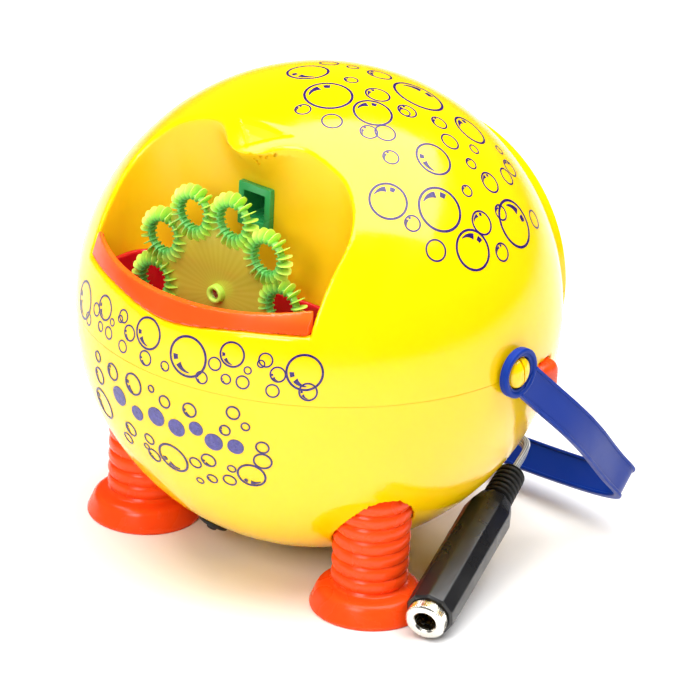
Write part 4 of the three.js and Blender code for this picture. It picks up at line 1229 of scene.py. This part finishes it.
socket_pieces = [knurled_ring(), faceted_body(), ribbed_relief()]


# ---------- lead ----------
LEAD_ROUTE = [
    (-33, 67.6, -10), (-33, 70.4, -10.3), (-33, 73.6, -11.8), (-33.3, 76.2, -14.8),
    (-33.8, 77.6, -19.4), (-34, 77.8, -25.5), (-33.6, 77.4, -31.8), (-31.9, 76.6, -38),
    (-27.5, 75, -44.5), (-20.5, 73, -49.8), (-11, 71, -53.4), (0, 69, -55.6), (11, 66.6, -56.6),
    (21.5, 63.6, -56.2), (31.5, 60, -54.2), (39.8, 55.8, -51.8), (45.5, 50.8, -50.4),
    (48.6, 45.4, -50.3), (50.2, 40, -51.6), (51.55, 35.6, -52.7),
]
LEAD_WIDTH = 3.8
LEAD_THICKNESS = 2.0


def smooth_route(route, per_span=8):
    """A centripetal Catmull-Rom curve through the route's points."""
    route = [np.array(p, float) for p in route]
    route = [2 * route[0] - route[1], *route, 2 * route[-1] - route[-2]]
    made = []
    for p0, p1, p2, p3 in zip(route, route[1:], route[2:], route[3:]):
        t0 = 0.0
        t1 = t0 + np.linalg.norm(p1 - p0) ** 0.5
        t2 = t1 + np.linalg.norm(p2 - p1) ** 0.5
        t3 = t2 + np.linalg.norm(p3 - p2) ** 0.5
        for t in np.linspace(t1, t2, per_span, endpoint=False):
            a1 = (t1 - t) / (t1 - t0) * p0 + (t - t0) / (t1 - t0) * p1
            a2 = (t2 - t) / (t2 - t1) * p1 + (t - t1) / (t2 - t1) * p2
            a3 = (t3 - t) / (t3 - t2) * p2 + (t - t2) / (t3 - t2) * p3
            b1 = (t2 - t) / (t2 - t0) * a1 + (t - t0) / (t2 - t0) * a2
            b2 = (t3 - t) / (t3 - t1) * a2 + (t - t1) / (t3 - t1) * a3
            made.append((t2 - t) / (t2 - t1) * b1 + (t - t1) / (t2 - t1) * b2)
    return np.array(made + [route[-2]])


def twin_section(steps=11):
    """Two round cores side by side, with a valley between them."""
    radius, offset = LEAD_THICKNESS / 2, (LEAD_WIDTH - LEAD_THICKNESS) / 2
    span = math.radians(125)
    arc = [polar(radius, angle) for angle in np.linspace(-span, span, steps)]
    right = [(offset + x, y) for x, y in arc]
    return right + [(-x, -y) for x, y in right]


def switch_lead():
    path = smooth_route(LEAD_ROUTE)
    section = twin_section()
    broad = np.array([1.0, 0, 0])
    loops = []
    for i, place in enumerate(path):
        along = path[min(i + 1, len(path) - 1)] - path[max(i - 1, 0)]
        along /= np.linalg.norm(along)
        broad = broad - along * (broad @ along)
        broad /= np.linalg.norm(broad)
        thin = np.cross(along, broad)
        loops.append([place + broad * a + thin * b for a, b in section])
    obj = build("switch_lead_body", [loft(loops)], "lead", 60)
    around = [k / len(section) for _ in path for k in range(len(section))]
    obj.data.attributes.new("around", "FLOAT", "POINT").data.foreach_set("value", around)
    settle(obj, "housing", "switch_lead", slot="lead_grey")
    in_frame = [tuple(p) for p in (path + CENTRE) / 1000]
    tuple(in_frame[0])


switch_lead()


# ---------- printed bubbles ----------
# Azimuth from the front towards +X and height, in degrees on the ball, then the radius in millimetres
# and the direction of the highlight in degrees, or None for a plain ring.
TOP_BUBBLES = [
    (-80, 84, 6.6, -15), (37, 80, 7.6, 120), (112, 85, 2.3, 90), (97, 77, 4, 90), (73, 72, 6.2, 75),
    (18, 73, 2.6, 155), (41, 70, 3.3, None), (62, 66, 2.9, 130), (71, 65, 3.4, None),
    (157, 77, 4, 50), (129, 69, 8.4, -15), (99, 69, 3.2, 85), (96, 69, 1.9, None),
    (109, 62, 2.8, 90), (123, 55, 5.9, 65), (102, 57, 3.2, None), (111, 52, 1.9, None),
    (102, 50, 2.1, 80), (86, 55, 6, 170), (67, 58, 2.7, 120), (60, 47, 6.1, 80), (77, 43, 7.4, 75),
    (104, 44, 3.7, 85), (123, 42, 3.2, 50), (116, 42, 3.1, None), (128, 46, 1.8, None),
    (91, 45, 2.1, 100), (66, 41, 2.7, 125), (90, 37, 4, 90), (100, 37, 2.7, 85), (104, 33, 7.9, 20),
    (116, 30, 3.1, None), (71, 34, 3.5, None), (83, 32, 6.5, 55), (93, 29, 3, 100),
    (-139, 79, 3.1, None), (-172, 80, 2, None),
]
BAND_BUBBLES = [
    (-33, 6, 6.1, -165), (-25, 7, 2.2, None), (-21, 9, 4, -160), (-17, 7, 1.3, None),
    (-13, 10, 2.2, None), (-14, 9, 1.3, None), (-10, 7, 2.6, -160), (-4, 9, 5.1, -150),
    (-29, 3, 2.2, None), (-22, 4, 1.7, -150), (-18, 4, 2.1, None), (-12, 3, 2.1, None),
    (-4, 3, 2.5, -150), (2, 3, 1.7, -145), (8, 7, 6.5, -145), (12, 3, 2.1, -160),
    (15, 7, 2.2, None), (19, 10, 4, -150), (18, 4, 1.7, -150), (22, 4, 2.2, None),
    (23, 7, 1.3, None), (27, 10, 2.3, None), (26, 9, 1.3, None), (30, 7, 2.5, -150),
    (36, 8, 5.7, -145), (29, 3, 2.2, None), (37, 3.5, 2.9, -155),
]
LOW_BUBBLES = [
    (-23, -4, 1.9, None), (-16, -5, 2.9, 160), (-23, -9, 2.9, 180), (-8, -5, 3.7, -160),
    (-2, -4, 1.3, None), (2, -6, 2.2, None), (9, -6, 2.5, -150), (20, -4, 2.3, None),
    (23, -7, 1.5, None), (18, -9, 1.9, 175), (27, -12, 2.2, None), (27, -16, 3, None),
    (24, -21, 4.6, -105), (18, -24, 2.3, None), (19, -20, 1.5, None), (13, -25, 1.9, -160),
    (9, -27, 1.4, None), (13, -19, 2.6, -140), (9, -21, 2.2, None), (2, -22, 5.6, -135),
    (-5, -19, 2.1, None), (-7, -22, 1.3, None), (-5, -24, 2.6, -160), (-12, -19, 2.6, 180),
    (-15, -23, 2.2, None), (-24, -17, 5.3, 170),
]
FILLED_BUBBLES = [
    (-14, -10.5, 3.2), (-7.5, -12.5, 2.5), (-1, -11, 3.2), (5, -12, 3), (10.5, -10.5, 2.4),
    (15, -13, 3), (20.5, -13, 2.6),
]
INK_OVER = 0.07  # how far the ink stands above the ball
INK_UNDER = 0.12


def on_ball(azimuth, elevation):
    """The outward, east and north directions at a place on the ball."""
    a, e = math.radians(azimuth), math.radians(elevation)
    out = np.array([math.sin(a) * math.cos(e), -math.cos(a) * math.cos(e), math.sin(e)])
    east = np.array([math.cos(a), math.sin(a), 0])
    return out, east, np.cross(out, east)


def ink_patch(place, outline_pairs):
    """A thin closed strip on the ball between pairs of (x, y) in millimetres east and north."""
    out, east, north = place
    loops = []
    for inner, outer in outline_pairs:
        loop = []
        corners = ((inner, -INK_UNDER), (outer, -INK_UNDER), (outer, INK_OVER), (inner, INK_OVER))
        for (x, y), lift in corners:
            direction = out * BALL + east * x + north * y
            loop.append(direction / np.linalg.norm(direction) * (BALL + lift))
        loops.append(loop)
    return loops


def arc_pairs(radius, width_at, start, end, steps):
    """Matching points on the inner and outer edge of an arc, whose width changes along it."""
    pairs = []
    for i in range(steps + 1):
        t = i / steps
        angle = math.radians(start + (end - start) * t)
        pairs.append((polar(radius - width_at(t), angle), polar(radius, angle)))
    return pairs


def ink_ring(place, radius, width, steps):
    return loft(ink_patch(place, arc_pairs(radius, lambda t: width, 0, 360, steps)[:-1]), closed=True)


def bubble_print(azimuth, elevation, radius, shine):
    """A ring, and for a shining bubble a curved wedge and a small square inside it."""
    place = on_ball(azimuth, elevation)
    line = 0.36 + 0.062 * radius
    parts = [ink_ring(place, radius, line, 56)]
    if shine is not None:
        inner = radius * 0.78
        wedge = arc_pairs(inner, lambda t: radius * (0.04 + 0.27 * t), shine + 66, shine + 8, 10)
        square = arc_pairs(inner, lambda t: radius * 0.24, shine - 11, shine - 33, 3)
        parts += [loft(ink_patch(place, wedge)), loft(ink_patch(place, square))]
    return parts


def filled_print(azimuth, elevation, radius):
    return [ink_ring(on_ball(azimuth, elevation), radius, radius * 0.97, 48)]


def print_group(name, bubbles, maker, material):
    parts = [part for bubble in bubbles for part in maker(*bubble)]
    settle(build(name, parts, material, 60), "housing")


print_group("bubble_print_top", TOP_BUBBLES, bubble_print, "ink")
print_group("bubble_print_band", BAND_BUBBLES, bubble_print, "ink")
print_group("bubble_print_low", LOW_BUBBLES, bubble_print, "ink")
print_group("bubble_print_filled", FILLED_BUBBLES, filled_print, "ink_fill")


# ---------- pieces that keep their CAD shape ----------
KEPT = {
    "white": ["wheel_gear", "idler_gear_1", "idler_gear_2", "gear_plate_front", "gear_plate_rear",
              "fan_impeller"],
    "grey": ["fan_housing", "battery_box"],
    "jacket": ["battery_1", "battery_2", "battery_3", "battery_4"],
    "steel": ["wheel_shaft", "motor_shaft", "idler_axle_1", "idler_axle_2", "motor_can",
              "contact_front_left", "contact_front_right", "contact_door_upper",
              "contact_door_lower"],
    "brass": ["motor_pinion", "socket_sleeve"],
    "black": ["switch_body"],
}
for finish, names in KEPT.items():
    for node_name in names:
        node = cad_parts[node_name]
        node.data.materials.clear()
        node.data.materials.append(MATERIAL[finish])


# ---------- floor, world and lights ----------
FLOOR_SIZE = 16  # metres


def floor():
    bpy.ops.mesh.primitive_plane_add(size=FLOOR_SIZE, location=(0, 0, 0))
    plane = bpy.context.object
    plane.name = "floor"
    nodes = Nodes("floor_paper")
    patches = nodes.ranged(nodes.noise(6, 3), 0.3, 0.7)
    paper = nodes.mix(patches, (0.9, 0.9, 0.9, 1), (0.93, 0.93, 0.93, 1))
    nodes.set(Base_Color=paper, Roughness=0.6, Specular_IOR_Level=0.2)
    plane.data.materials.append(nodes.material)


def sky():
    """A white studio, dimmer overhead, with a soft glow from the front left."""
    nodes = Nodes("studio", world=True)
    scene.world = nodes.material
    axes = nodes.add("ShaderNodeSeparateXYZ", {"Vector": nodes.place}).outputs
    height = nodes.ranged(axes["Z"], 0.2, 0.8, SKY_LOW, SKY_HIGH, "LINEAR")
    towards = Vector(GLOW_FROM).normalized()
    facing = nodes.add("ShaderNodeVectorMath", {0: nodes.place, 1: towards}, operation="DOT_PRODUCT")
    glow = nodes.ranged(facing.outputs["Value"], 0.35, 1, 0, SKY_GLOW, "LINEAR")
    nodes.set(Strength=nodes.math("ADD", height, glow))


GLOW_FROM = (-0.35, -0.85, 0.4)
SKY_LOW, SKY_HIGH, SKY_GLOW = 1.25, 0.75, 1.5


def softbox(name, place, aim, size, power, spin=0.0):
    data = bpy.data.lights.new(name, "AREA")
    data.shape, data.size, data.size_y, data.energy = "RECTANGLE", size[0], size[1], power
    lamp = bpy.data.objects.new(name, data)
    scene.collection.objects.link(lamp)
    turn = (Vector(aim) - Vector(place)).to_track_quat("-Z", "Y").to_matrix().to_4x4()
    lamp.matrix_world = Matrix.Translation(place) @ turn @ Matrix.Rotation(math.radians(spin), 4, "Z")


floor()
sky()
softbox("softbox_top", (0.11, 0.02, 1.08), (0, 0, 0.08), (1.7, 1.15), 35, -48)
softbox("chamber_fill", (0.14, -0.62, 0.44), (0, -0.045, 0.11), (0.28, 0.28), 2.5)
scene.view_settings.view_transform = "Standard"
